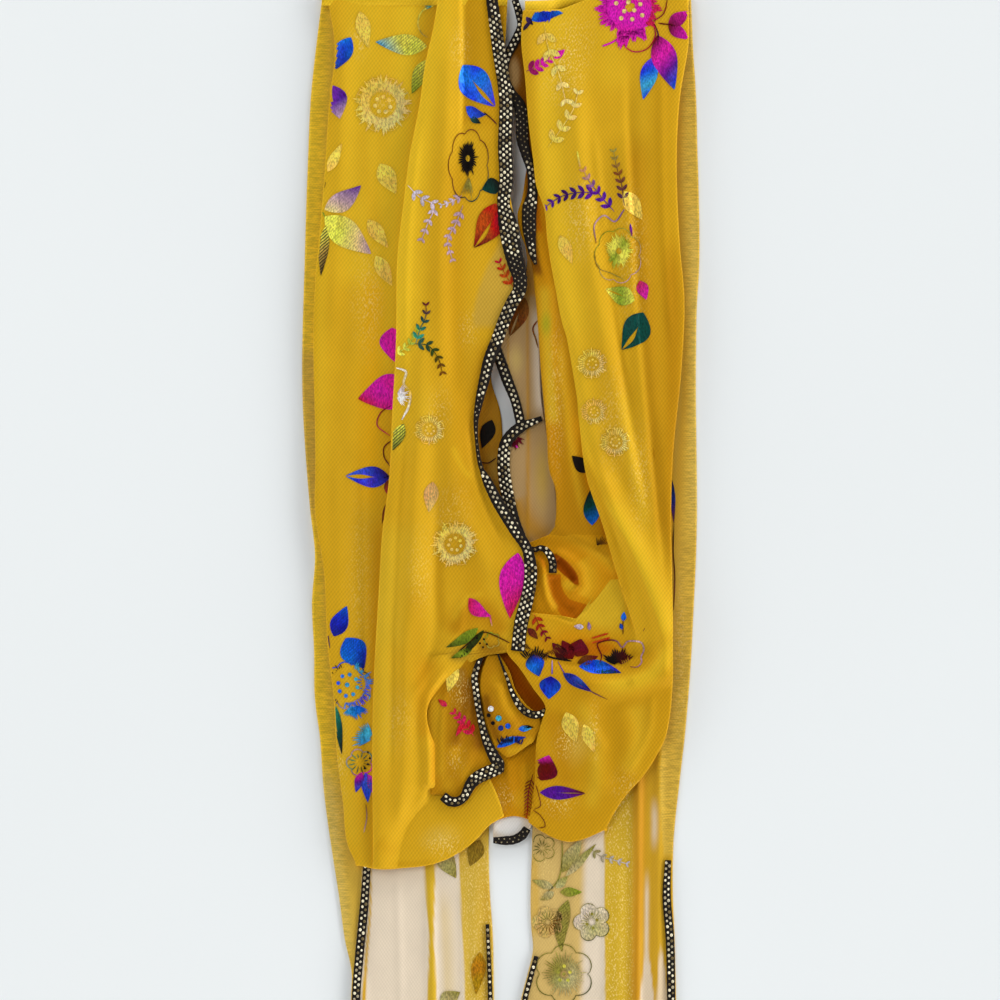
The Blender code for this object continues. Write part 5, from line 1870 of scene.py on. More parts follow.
@dataclass
class HiddenFolds:
    """The layers that nothing shows: a rounded stack of net each side, its edges stepped like layers."""

    left_edges: tuple[Rows, Rows] = (
        ((1.5, -84), (48, -82), (91, -85), (140, -89), (262, -88.5), (300, -84), (345, -80), (401, -74),
            (424, -71)),
        ((1.5, -8), (50, -5), (140, -4), (190, -14), (235, -13), (262, -6), (300, -9.5), (377, -11),
            (401, -13), (424, -18)))
    right_edges: tuple[Rows, Rows] = (
        ((1.5, 19), (95, 22), (150, 23), (187, 24), (214, 28), (250, 33), (330, 30), (412, 27)),
        ((1.5, 90), (48, 87), (147, 88), (226, 83.5), (345, 82), (360, 80), (378, 74), (398, 58),
            (412, 48)))
    inset: float = 0.4
    thick: float = 2.0
    foot: float = 0.1
    grid: tuple[int, int] = (141, 61)
    edge_share: float = 0.3
    step_share: float = 0.35
    step_wide: Pair = (1.2, 1.6)
    second_inset: float = 1.6

    def stack(self, name: str, edges: tuple[Rows, Rows], top: float, bottom: Rows, node: str,
              wardrobe: Wardrobe) -> Piece:
        """One stack: from its edges the thickness rises in two steps, each a soft ramp, to its full height.

        Args:
            name: the piece's name.
            edges: its left and right edge.
            top: where it begins.
            bottom: its lower rim.
            node: the solid that it replaces.
            wardrobe: the finishes.

        Returns:
            The piece.
        """
        across = np.linspace(0, 1, self.grid[1])[None, :]
        last = np.interp(across, [row[0] for row in bottom], [row[1] for row in bottom])
        down = top + (last - top) * np.linspace(0, 1, self.grid[0])[:, None]
        low, high = edge_x(edges[0], down) + self.inset, edge_x(edges[1], down) - self.inset
        x = low + (high - low) * across
        inset = np.minimum.reduce([x - low, high - x, down - top, last - down])
        first = ramp(inset / self.step_wide[0])
        second = ramp((inset - self.second_inset) / self.step_wide[1])
        rise = self.edge_share + self.step_share * first + self.step_share * second
        over = to_world(x, down, ON_TAILS + self.foot + self.thick * rise)
        under = to_world(x, down, ON_TAILS + self.foot + 0 * x)
        points, faces, rim = shell(over, 0.0)
        points[over.size // 3:] = under.reshape(-1, 3)
        return plain_net(name, node, (points, faces, rim), Dye.DEEP, wardrobe)

    def build(self, wardrobe: Wardrobe) -> tuple[Piece, Piece]:
        """Both stacks."""
        return (
            self.stack("net_hidden_left", self.left_edges, 4.2, ((0, 424), (0.6, 423), (1, 404)),
                       "hidden_folds_left", wardrobe),
            self.stack("net_hidden_right", self.right_edges, 9.5, ((0, 412), (0.5, 414), (1, 408)),
                       "hidden_folds_right", wardrobe))


PALE = (Dye.PALE_OLIVE, Dye.OLIVE)
"""The run of dyes of most prints on the loose ends."""


@dataclass
class Prints:
    """The foil flowers, leaves and sprigs, listed for each stretch of net that carries them."""

    nets: dict[str, Net]

    @staticmethod
    def pale_flower(x: float, down: float, reach: float) -> tuple[Motif, ...]:
        """A pale gold flower with a dotted middle, printed on the far side of the net."""
        middle = ring_of_spots((x, down), 0.26 * reach, 0.26 * reach, np.linspace(0.3, 6.58, 8)[:-1])
        return (
            Rays((x, down), 0.42 * reach, reach, int(4.2 * reach), 0.09 * reach, (Dye.GHOST, Dye.GLINT)),
            Bloom((x, down), 0.93 * reach, 8, 0.35, Dye.GHOST, depth=0.2),
            Dots(middle, 0.07 * reach, (Dye.GLINT, Dye.GHOST)))

    @staticmethod
    def pale_leaf(stalk: Pair, tip: Pair, width: float) -> Leaf:
        """A pale gold leaf, printed on the far side of the net."""
        return Leaf(stalk, tip, width, Dye.GHOST)

    def swag_left(self) -> tuple[Motif, ...]:
        """On the left run's under layer."""
        return (
            *self.pale_flower(-58.5, 52.5, 15), self.pale_leaf((-70, 6), (-66, 24), 7),
            self.pale_leaf((-60, 82), (-52, 97), 9), self.pale_leaf((-66, 110), (-56, 124), 7),
            self.pale_leaf((-62, 128), (-54, 143), 7), self.pale_leaf((-86, 86), (-79, 72), 5),
            Leaf((-74.5, 19), (-84, 36), 9, (Dye.BLUE, Dye.DEEP_BLUE)),
            Leaf((-36.5, 23.5), (-62, 21.2), 10, (Dye.LIME, Dye.LIME, Dye.CYAN), veins=0.4),
            Leaf((-36.5, 30), (-44, 47), 7.5, (Dye.LIME, Dye.LEAF), veins=0.5),
            Vein(((-33, 3), (-39, 6), (-41, 12), (-39, 17), (-36, 19)), 0.7, (Dye.LIME, Dye.ASH)),
            Rays((-33, 3), 1, 6, 7, 0.5, (Dye.SEA, Dye.CYAN), start=150, sweep=90),
            Leaf((-83.5, 43), (-80, 59.5), 11, (Dye.PURPLE, Dye.PURPLE, Dye.LILAC)),
            Leaf((-88.5, 89), (-88, 95), 2.2, (Dye.UMBER, Dye.INK)),
            Leaf((-87.5, 105), (-69.5, 93), 9.5, (Dye.GLINT, Dye.LILAC, Dye.PURPLE), bow=-1.5, veins=0.2),
            Leaf((-87.5, 108.5), (-64.5, 127), 13.5, (Dye.LIME, Dye.LIME, Dye.GLINT, Dye.LILAC), veins=0.2),
            Vein(((-89.5, 104), (-87.5, 108.5)), 0.6, Dye.LEAF),
            Leaf((-87, 113), (-89.5, 138), 5, (Dye.LIME, Dye.ASH, Dye.INK), veins=0.9),
            Leaf((-54, 164), (-52.5, 181), 13, Dye.MAGENTA),
            Leaf((-45, 192), (-70.8, 199.5), 17, (Dye.MAGENTA, Dye.MAGENTA, Dye.ROSE), bow=1),
            Vein(((-53, 202), (-60, 207), (-61.5, 212), (-55, 218)), 0.6, (Dye.MAROON, Dye.ROSE)),
            Vein(((-54, 220), (-58, 224), (-58, 228), (-55, 233)), 0.6, Dye.MAROON),
            Leaf((-55, 238.8), (-77, 238), 10, (Dye.PLUM, Dye.VIOLET, Dye.BLUE), slit=0.35),
            Vein(((-58, 239), (-53, 237)), 0.7, Dye.INK),
            Leaf((-56.5, 240), (-53.5, 250), 5, (Dye.UMBER, Dye.ROSE)),
            Leaf((-57, 252), (-59, 262), 1.6, (Dye.MAROON, Dye.UMBER)),
            Leaf((-83, 318), (-76.5, 303), 8.5, (Dye.DEEP_BLUE, Dye.BLUE), veins=0.3),
            Vein(((-87.5, 302), (-86.5, 313), (-85, 324)), 0.5, (Dye.MAROON, Dye.PLUM)),
            Leaf((-77, 319), (-68, 334), 13, (Dye.BLUE, Dye.BLUE, Dye.DEEP_BLUE), veins=0.25),
            Bloom((-76, 342.5), 12, 9, 0.6, (Dye.BLUE, Dye.INK, Dye.LILAC), depth=0.14),
            Rays((-76, 342.5), 8.5, 12.6, 40, 0.7, (Dye.BLUE, Dye.CYAN, Dye.VIOLET), start=-70, sweep=170,
                seed=5),
            Rays((-76, 342.5), 9, 12, 22, 0.5, (Dye.INK, Dye.PLUM), start=120, sweep=140, seed=6),
            Dots(ring_of_spots((-76, 342.5), 4.9, 5.4, np.arange(0.2, 6.3, 0.785)), 1,
                (Dye.CYAN, Dye.BLUE, Dye.CYAN)),
            Dots(((-76.3, 342.3),), 1.2, Dye.CYAN),
            Rays((-73, 352), 1, 8, 16, 0.9, (Dye.CYAN, Dye.BLUE), start=20, sweep=120, seed=7),
            Rays((-63, 369), 1.5, 11, 14, 0.8, (Dye.CYAN, Dye.BLUE), start=150, sweep=100, seed=8),
            Leaf((-82, 353), (-79, 377), 3.6, (Dye.SEA, Dye.TEAL, Dye.INK)),
            Bloom((-70, 381), 7, 5, 0.6, (Dye.LILAC, Dye.SEA, Dye.MAGENTA), depth=0.25),
            Rays((-70, 381), 2, 6, 12, 0.5, (Dye.SEA, Dye.INK), seed=9),
            Dots(((-66, 376), (-65, 379), (-66, 382), (-67.5, 384)), 0.6, Dye.INK),
            Leaf((-69, 386), (-72, 396), 4.5, (Dye.MAGENTA, Dye.PURPLE, Dye.BLUE)),
            Leaf((-67, 386), (-66, 401), 5, (Dye.VIOLET, Dye.BLUE)),
            Leaf((-66, 387), (-61, 399), 4.5, (Dye.MAGENTA, Dye.VIOLET)),
            Vein(((-67, 402), (-66.5, 408), (-68, 416)), 0.45, (Dye.BROWN, Dye.LILAC)),
            Rays((-63, 341), 6, 9, 10, 0.6, (Dye.BLUE, Dye.CYAN), start=100, sweep=120, seed=10))

    def panel_left(self) -> tuple[Motif, ...]:
        """On the left front panel."""
        return (
            Leaf((-18.5, 33), (-2.5, 53.5), 15, (Dye.BLUE, Dye.BLUE, Dye.VIOLET), slit=0.22, bow=-1),
            Leaf((-17, 53.6), (-7, 57.6), 5.4, (Dye.BLUE, Dye.DEEP_BLUE), bow=-1.6),
            Vein(((-8, 56.5), (-5, 59), (-1.6, 62.4)), 0.6, (Dye.INK, Dye.MAROON)),
            Leaf((-15, 59), (-9.6, 62), 3, (Dye.TEAL, Dye.INK)),
            Bloom((-15.5, 83), 18.5, 7, 0.6, (Dye.BROWN, Dye.MAROON, Dye.TEAL), depth=0.13, squash=0.56),
            Rays((-16, 79.5), 1.4, 9.5, 34, 0.9, Dye.INK, squash=0.55, seed=11),
            Rays((-15.5, 88), 1, 12, 7, 0.5, (Dye.BROWN, Dye.OLIVE), start=75, sweep=40, seed=12),
            Bloom((-16, 79.5), 3.2, 6, 1.4, (Dye.LIT, Dye.SUN), squash=0.5, filled=True),
            Sprig(((-46, 93), (-40, 99), (-33, 103), (-36, 112), (-39.5, 121)), 5, 7,
                (Dye.SILVER, Dye.LILAC)),
            Sprig(((-19, 98), (-24, 101), (-29.5, 103)), 3.6, 4, (Dye.LILAC, Dye.SILVER)),
            Sprig(((-18.5, 103), (-22, 112), (-26, 120), (-23.5, 131)), 4.2, 7, Dye.LILAC),
            Leaf((0, 92), (-9, 95), 8, (Dye.INK, Dye.TEAL)),
            Leaf((-2, 102), (-13, 124), 13, (Dye.RED, Dye.RED, Dye.MAROON), slit=0.25, bow=2),
            Sprig(((6.5, 143.5), (3, 138), (-0.5, 131)), 5, 4, Dye.RED),
            Sprig(((-42, 172), (-40, 165), (-37, 158), (-37, 152)), 4.6, 5,
                (Dye.SEA, Dye.TEAL, Dye.MAROON)),
            Sprig(((-53, 178), (-46, 173), (-41, 165)), 4.2, 5, (Dye.LIME, Dye.LEAF)),
            Sprig(((-44, 172), (-36, 173), (-31, 179), (-28.5, 187)), 4.8, 6,
                (Dye.TEAL, Dye.DARK_LEAF, Dye.BROWN)),
            Vein(((-52, 184), (-47, 186), (-48, 192), (-45, 196), (-45.5, 203), (-49, 210)), 1.1,
                (Dye.WHITE, Dye.SUN, Dye.WHITE)),
            Rays((-52, 198), 1, 7, 16, 0.5, (Dye.LILAC, Dye.WHITE), start=-60, sweep=120, seed=13),
            Leaf((-48, 212), (-54.5, 226), 6, (Dye.LIME, Dye.DARK_LEAF), veins=0.8),
            Leaf((9, 276.5), (5, 309), 12.5, (Dye.MAGENTA, Dye.MAGENTA, Dye.ROSE), bow=-1.2),
            Leaf((-15.5, 299), (-4.5, 308), 6.5, (Dye.ROSE, Dye.MAGENTA), bow=-2),
            Vein(((-5, 308), (-4, 313)), 0.6, (Dye.MAGENTA, Dye.PALE_PINK)),
            Leaf((-33.5, 241), (-35.5, 256), 7, (Dye.PALE_PINK, Dye.BLUSH)), *self.pale_flower(-35, 215, 8),
            *self.pale_flower(-22.5, 272, 12),
            Leaf((-14, 324.5), (-24.5, 329), 3.5, (Dye.DARK_LEAF, Dye.LEAF, Dye.DARK_LEAF)),
            Leaf((-11, 314), (-27, 323.5), 5, (Dye.LEAF, Dye.DARK_LEAF), bow=1),
            Leaf((-8, 315), (-20, 329), 3.4, (Dye.DARK_LEAF, Dye.INK)),
            Vein(((-22, 327), (-14, 320), (-8, 316), (-2, 318), (6, 322)), 0.7, (Dye.INK, Dye.UMBER)),
            Dots(((-11.5, 319), (-10, 321.5), (-8.5, 323.5), (-6.5, 322), (-8, 319.5)), 0.55, Dye.INK),
            Bloom((-4, 320), 4.2, 5, 0.5, (Dye.LEAF, Dye.ASH), depth=0.3))

    def flap(self) -> tuple[Motif, ...]:
        """On the small flap."""
        return (
            Sprig(((-13, 368), (-18, 361), (-23, 356)), 5, 5, Dye.ROSE, 0.5),
            Leaf((-26.5, 353), (-31, 349.5), 2.8, (Dye.ROSE, Dye.RED)),
            Leaf((-18, 361), (-22, 368), 2.6, Dye.ROSE), self.pale_leaf((-22, 332), (-26, 346), 6))

    def pocket(self) -> tuple[Motif, ...]:
        """On the petal-shaped fold."""
        return (
            Dots(((-4.6, 354.3), (-0.7, 359)), 1.5, (Dye.WHITE, Dye.CYAN)),
            Dots(((3.9, 362.9), (0.4, 363.9)), 1.4, (Dye.BLUE, Dye.DEEP_BLUE)),
            Dots(((-5.7, 357.5), (-3.6, 361.4)), 1, Dye.INK),
            Leaf((9.3, 364.3), (15.7, 364), 3, (Dye.BLUE, Dye.CYAN)),
            Leaf((11.4, 363), (17, 363.5), 1.5, Dye.INK),
            Leaf((-1.5, 373.5), (13, 368.5), 3.8, (Dye.BLUE, Dye.BLUE, Dye.DEEP_BLUE), bow=1),
            Rays((6, 384), 12.5, 17, 18, 0.7, (Dye.INK, Dye.DEEP_BLUE), start=-118, sweep=50, seed=14))

    def panel_right(self) -> tuple[Motif, ...]:
        """On the right front panel."""
        return (
            Leaf((15.5, 10.5), (31.5, 7), 6.5, (Dye.BLUE, Dye.DEEP_BLUE, Dye.BLUE), bow=1.5),
            Rays((27, 1), 5, 11.5, 12, 1, (Dye.DEEP_BLUE, Dye.BLUE), start=100, sweep=100, seed=15),
            Leaf((13, 9), (16.5, 13), 2.5, (Dye.PLUM, Dye.INK)),
            Leaf((11, 16), (16.5, 9.5), 1.8, (Dye.INK, Dye.PLUM)),
            Sprig(((13, 36), (19, 33.5), (24, 30.5)), 5.8, 4, (Dye.MAROON, Dye.MAGENTA, Dye.MAGENTA), 0.5),
            Leaf((27, 29.5), (32.4, 25.2), 3.4, Dye.MAGENTA),
            Sprig(((22, 12), (24, 24), (29, 36), (33, 52)), 7.5, 5, (Dye.GHOST, Dye.GLINT), 0.5),
            Sprig(((24, 74), (31, 64), (37, 54), (39, 46)), 6.5, 5, (Dye.GHOST, Dye.GLINT), 0.5),
            *self.pale_flower(46, 182, 8), *self.pale_flower(47, 206, 7), *self.pale_flower(57.5, 221, 8),
            self.pale_leaf((62, 96), (71, 110), 8), self.pale_leaf((30, 118), (36, 132), 6),
            Bloom((65, 4), 13, 5, 1, Dye.MAGENTA, depth=0.2, filled=True),
            Rays((65, 4), 10.5, 17, 22, 1.5, Dye.MAGENTA, start=128, sweep=72, seed=16),
            Rays((65, 4), 10.5, 20.5, 16, 2, Dye.MAGENTA, start=58, sweep=58, seed=29),
            Rays((65, 4), 10.5, 16, 14, 1.3, (Dye.MAGENTA, Dye.ROSE), start=-20, sweep=66, seed=30),
            Dots(((58, 2), (62, 6), (64, 1.5), (67, 5.5), (60.5, 9.5), (66, 10), (70, 2.5), (71, 8)), 1.1,
                Dye.GLINT),
            Vein(((84, -2), (81, 8), (77, 11), (77.5, 18), (73, 25), (66, 26), (61.5, 22), (61, 18)), 0.6,
                (Dye.MAROON, Dye.ROSE)),
            Vein(((51, 23.5), (56, 21.5), (60.5, 18.5)), 0.9, Dye.MAGENTA),
            Vein(((79, 12), (87, 13)), 0.7, Dye.MAROON),
            Leaf((84, 13), (95, 6), 6.5, (Dye.MAROON, Dye.MAGENTA)),
            Leaf((84, 13), (94.5, 20), 6, (Dye.MAROON, Dye.MAGENTA)),
            Vein(((77, 12), (79, 18), (78, 26)), 0.7, (Dye.MAROON, Dye.PLUM)),
            Leaf((78.5, 18), (87, 45), 12, (Dye.MAROON, Dye.MAGENTA, Dye.PURPLE, Dye.BLUE)),
            Leaf((76.3, 29), (71.5, 50), 8.2, (Dye.VIOLET, Dye.BLUE, Dye.CYAN, Dye.BLUE)),
            Sprig(((50, 97), (40, 96.5), (32, 98), (22, 104)), 5.6, 7, (Dye.PURPLE, Dye.PLUM, Dye.PURPLE)),
            Sprig(((57, 106), (50, 98), (44, 90), (41.5, 85)), 5.2, 6,
                (Dye.PURPLE, Dye.PURPLE, Dye.PALE_PINK)),
            Vein(((40, 84), (38.5, 76)), 0.8, (Dye.PALE_PINK, Dye.LIME)),
            Sprig(((62, 103), (60.5, 92), (58, 83), (56.5, 75)), 4.6, 7, (Dye.PLUM, Dye.BROWN, Dye.OLIVE)),
            Vein(((48, 122), (47.5, 112), (52, 108), (57, 111), (62, 105)), 0.7,
                (Dye.BROWN, Dye.LILAC, Dye.PURPLE)),
            Vein(((47, 126), (49, 134), (56, 137), (62, 140)), 0.4, (Dye.BROWN, Dye.OLIVE)),
            Rays((59.3, 125.7), 1.4, 9.3, 44, 0.8, (Dye.LIME, Dye.LEAF, Dye.LIME), squash=0.8, seed=17),
            Bloom((59, 128), 14, 7, 0.35, (Dye.LEAF, Dye.OLIVE, Dye.LILAC), depth=0.14, squash=0.86),
            Leaf((65, 112), (66, 119), 1.2, (Dye.PURPLE, Dye.MAROON)),
            Leaf((67.2, 150.5), (52.8, 144.8), 9, (Dye.LIME, Dye.LEAF, Dye.LIME), veins=0.2, slit=0.15),
            Leaf((69.8, 140.5), (73, 150), 5.8, (Dye.RED, Dye.MAGENTA)),
            Leaf((71.5, 156.5), (60.8, 175), 13.5, Dye.TEAL, slit=0.28, bow=1.5))

    def deep_right(self) -> tuple[Motif, ...]:
        """On the deeper layer of the right run."""
        return (
            Leaf((44.5, 236), (36, 228), 7, Dye.INK),
            Leaf((46, 262.5), (45.6, 244), 8, (Dye.BLUE, Dye.TEAL, Dye.INK)),
            Rays((49, 276), 1, 9, 20, 0.4, (Dye.INK, Dye.BROWN), start=-100, sweep=120, seed=26))

    def sheer(self) -> tuple[Motif, ...]:
        """On the sheer strip."""
        return (
            Leaf((12.5, 149), (5, 168), 9, (Dye.BROWN, Dye.BROWN, Dye.UMBER), slit=0.2),
            Vein(((19, 160), (16.5, 164), (18, 170), (19, 174)), 0.8, Dye.BROWN),
            Rays((5, 217), 4, 8.5, 16, 0.5, (Dye.INK, Dye.MAROON), start=20, sweep=60, seed=27),
            Leaf((6.5, 221.5), (9, 224), 1.8, Dye.MAGENTA))

    def swag_right(self) -> tuple[Motif, ...]:
        """On the right lobe of the swag."""
        return (
            Sprig(((17, 307), (19.5, 312.5), (23.5, 319)), 4.5, 4, (Dye.RED, Dye.MAROON)),
            Leaf((14, 314), (19, 319.5), 3.5, (Dye.MAROON, Dye.UMBER)),
            Leaf((41.8, 313.5), (36.8, 313), 2.6, (Dye.SILVER, Dye.LILAC)),
            Leaf((44.7, 315), (44.3, 310.8), 1.8, (Dye.LILAC, Dye.PURPLE)),
            Leaf((61.5, 310.5), (62, 305.8), 2.6, Dye.BLUE),
            Leaf((61, 314.5), (60, 311.5), 2, (Dye.BLUE, Dye.DEEP_BLUE)),
            Vein(((61.5, 317), (61.3, 313), (61.6, 309)), 0.6, Dye.UMBER),
            Vein(((45.7, 319), (54, 316.6)), 0.9, Dye.RED), Vein(((46, 321.3), (55, 318.7)), 0.9, Dye.RED),
            Sprig(((71.5, 315.5), (74, 310), (75.5, 304), (76.5, 300)), 4.5, 4, (Dye.MAROON, Dye.BROWN)),
            Vein(((49.3, 332.1), (50.7, 328.6), (49, 321.4), (50.7, 320.7), (58.6, 320.7), (61, 323.6),
                    (63.6, 320.7), (67, 320.4), (70.7, 321.4), (71.8, 324.6), (70.4, 328.6), (70.7, 330.7),
                    (68.6, 333.2), (65, 333.2)),
                0.7, (Dye.MAROON, Dye.MAROON, Dye.LILAC, Dye.MAROON)),
            Rays((59, 333), 1.5, 9.5, 15, 1.2, (Dye.INK, Dye.MAROON), start=-155, sweep=125, seed=19),
            Leaf((36.2, 329.5), (31, 320), 7, Dye.MAROON),
            Leaf((38.3, 328.2), (40.5, 319.3), 10, Dye.MAROON),
            Leaf((33.5, 329.8), (26, 321.3), 6, (Dye.INK, Dye.MAROON)),
            Leaf((38.7, 331.5), (49, 328), 4.6, (Dye.UMBER, Dye.MAROON)),
            Vein(((20.7, 326.4), (25.7, 328.6), (30.7, 329.6), (35.7, 330.4)), 1, Dye.INK),
            Rays((21, 318), 8, 12, 30, 0.5, (Dye.INK, Dye.UMBER), start=25, sweep=130, seed=18),
            Rays((17, 333), 5, 10, 12, 0.8, Dye.INK, start=-140, sweep=100, seed=28),
            Leaf((16, 327), (19.5, 338), 9, (Dye.INK, Dye.BLUE, Dye.DEEP_BLUE)),
            Leaf((25.5, 338), (24.3, 349.3), 10.3, (Dye.DEEP_BLUE, Dye.BLUE)),
            Vein(((26.1, 330), (26, 337)), 0.6, (Dye.LILAC, Dye.VIOLET)),
            Leaf((31.5, 336.5), (45.7, 345.7), 5, Dye.DEEP_BLUE),
            Vein(((29, 330.7), (32.2, 336.4), (45.7, 345.7), (53.6, 349.6)), 0.5, (Dye.PURPLE, Dye.UMBER)),
            Leaf((39.5, 333), (60.4, 336.2), 6.5, (Dye.BLUE, Dye.BLUE, Dye.DEEP_BLUE), bow=1.2),
            Leaf((42, 332.8), (60.4, 336), 3.2, (Dye.INK, Dye.TEAL, Dye.INK), bow=-0.6),
            Leaf((20.5, 390), (24.5, 377.5), 13, (Dye.MAROON, Dye.MAROON, Dye.MAROON, Dye.MAGENTA)),
            Leaf((20, 396), (42.5, 396.5), 6.5, (Dye.PURPLE, Dye.PURPLE, Dye.MAROON), slit=0.12),
            Vein(((17, 390), (19.5, 398), (20, 403), (17, 404.5)), 0.35, Dye.MAROON),
            Vein(((16, 404.5), (20.5, 408), (22.5, 413), (18, 414)), 0.35, Dye.MAROON),
            self.pale_leaf((33, 356), (38, 371), 8), self.pale_leaf((42, 362), (47, 376), 6))

    def recess(self) -> tuple[Motif, ...]:
        """On the net behind the pocket: the plume of the lobe's lowest flower."""
        stem = ((16.4, 387), (14.2, 396), (13.6, 406), (12.5, 411))
        return (Sprig(stem, 4, 12, (Dye.MAROON, Dye.RED), 0.15),)

    def tail_right(self) -> tuple[Motif, ...]:
        """Pale olive prints on the right end."""
        return (
            Leaf((31, 436), (41, 419), 7, (Dye.OLIVE, Dye.PALE_OLIVE)), Leaf((33, 438), (48, 422), 4, PALE),
            Bloom((21, 424), 7, 5, 0.4, (Dye.DARK_LEAF, Dye.OLIVE), depth=0.3),
            Rays((21, 424), 1, 5, 12, 0.4, (Dye.DARK_LEAF, Dye.OLIVE), seed=21),
            Vein(((31, 420), (31, 430), (29, 440), (24, 446)), 0.7, Dye.OLIVE),
            Leaf((27, 444), (16, 440), 4, PALE), Leaf((28, 444), (34, 438), 4, PALE),
            Leaf((30, 446), (41, 446), 4.5, (Dye.OLIVE, Dye.LEAF)), Leaf((27, 446), (20, 450), 4, PALE),
            Bloom((24, 461), 8, 5, 1, (Dye.SAND, Dye.BLUSH), depth=0.25, filled=True),
            Rays((24, 461), 1, 7, 16, 0.5, (Dye.OLIVE, Dye.BROWN), seed=22),
            Leaf((34, 450), (31, 476), 7.5, Dye.OLIVE, bow=-2, veins=0.3),
            Bloom((46, 461), 9.5, 5, 1, (Dye.CREAM, Dye.PALE_OLIVE), depth=0.32, filled=True),
            Bloom((46, 461), 9.7, 5, 0.45, (Dye.OLIVE, Dye.DARK_LEAF), depth=0.32),
            Rays((46, 461), 1.5, 7, 22, 0.4, (Dye.OLIVE, Dye.PALE_OLIVE), seed=23),
            Dots(((46, 457), (48.5, 460), (46.5, 464), (43.5, 462)), 0.8, Dye.OLIVE),
            Bloom((32, 487), 15, 6, 0.5, (Dye.OLIVE, Dye.DARK_LEAF), depth=0.2),
            Rays((32, 487), 1.5, 12, 44, 0.7, (Dye.OLIVE, Dye.PALE_OLIVE), seed=24),
            Dots(((32, 483), (35, 486), (34, 490), (30, 490), (29, 486), (32, 487)), 0.9,
                (Dye.LIME, Dye.OLIVE)),
            Sprig(((45, 424), (50, 428), (57, 430), (64, 432)), 4, 5, (Dye.OLIVE, Dye.SILVER)),
            Leaf((34, 503), (27, 512), 8, PALE), Bloom((44, 512), 9, 5, 0.5, PALE, depth=0.3),
            Leaf((86, 240), (87, 262), 2.4, (Dye.INK, Dye.DEEP_BLUE, Dye.UMBER)),
            Vein(((87, 262), (86.6, 275), (87.4, 288), (86.8, 305)), 0.5, (Dye.INK, Dye.MAROON)))

    def tail_left(self) -> tuple[Motif, ...]:
        """Prints on the left end and on its stretch behind the slit."""
        return (
            Leaf((-31, 424), (-22, 439), 9, PALE), Leaf((-10, 420), (-15, 433), 8, Dye.KHAKI),
            Leaf((-10, 476), (-12, 497), 7, (Dye.DEEP, Dye.DUSK)), Leaf((-30, 502), (-20, 496), 8, PALE),
            Leaf((-4, 210), (-9, 224), 7, Dye.INK),
            Vein(((-10, 231), (-6, 231.5), (-2, 229)), 0.6, (Dye.UMBER, Dye.INK)))

    def build(self, wardrobe: Wardrobe) -> None:
        """Every print, one piece for each stretch of net."""
        for host, motifs in (
            ("net_swag_left", self.swag_left()), ("net_panel_left", self.panel_left()),
            ("net_flap_left", self.flap()), ("net_pocket_fold", self.pocket()),
            ("net_panel_right", self.panel_right()), ("net_inner_right", self.deep_right()),
            ("net_inner_sheer", self.sheer()), ("net_swag_right", self.swag_right()),
            ("net_tail_right", self.tail_right()), ("net_tail_left", self.tail_left()),
            ("net_inner_recess", self.recess()),
        ):
            Foil(host.replace("net_", "foil_"), self.nets[host], motifs).build(wardrobe)


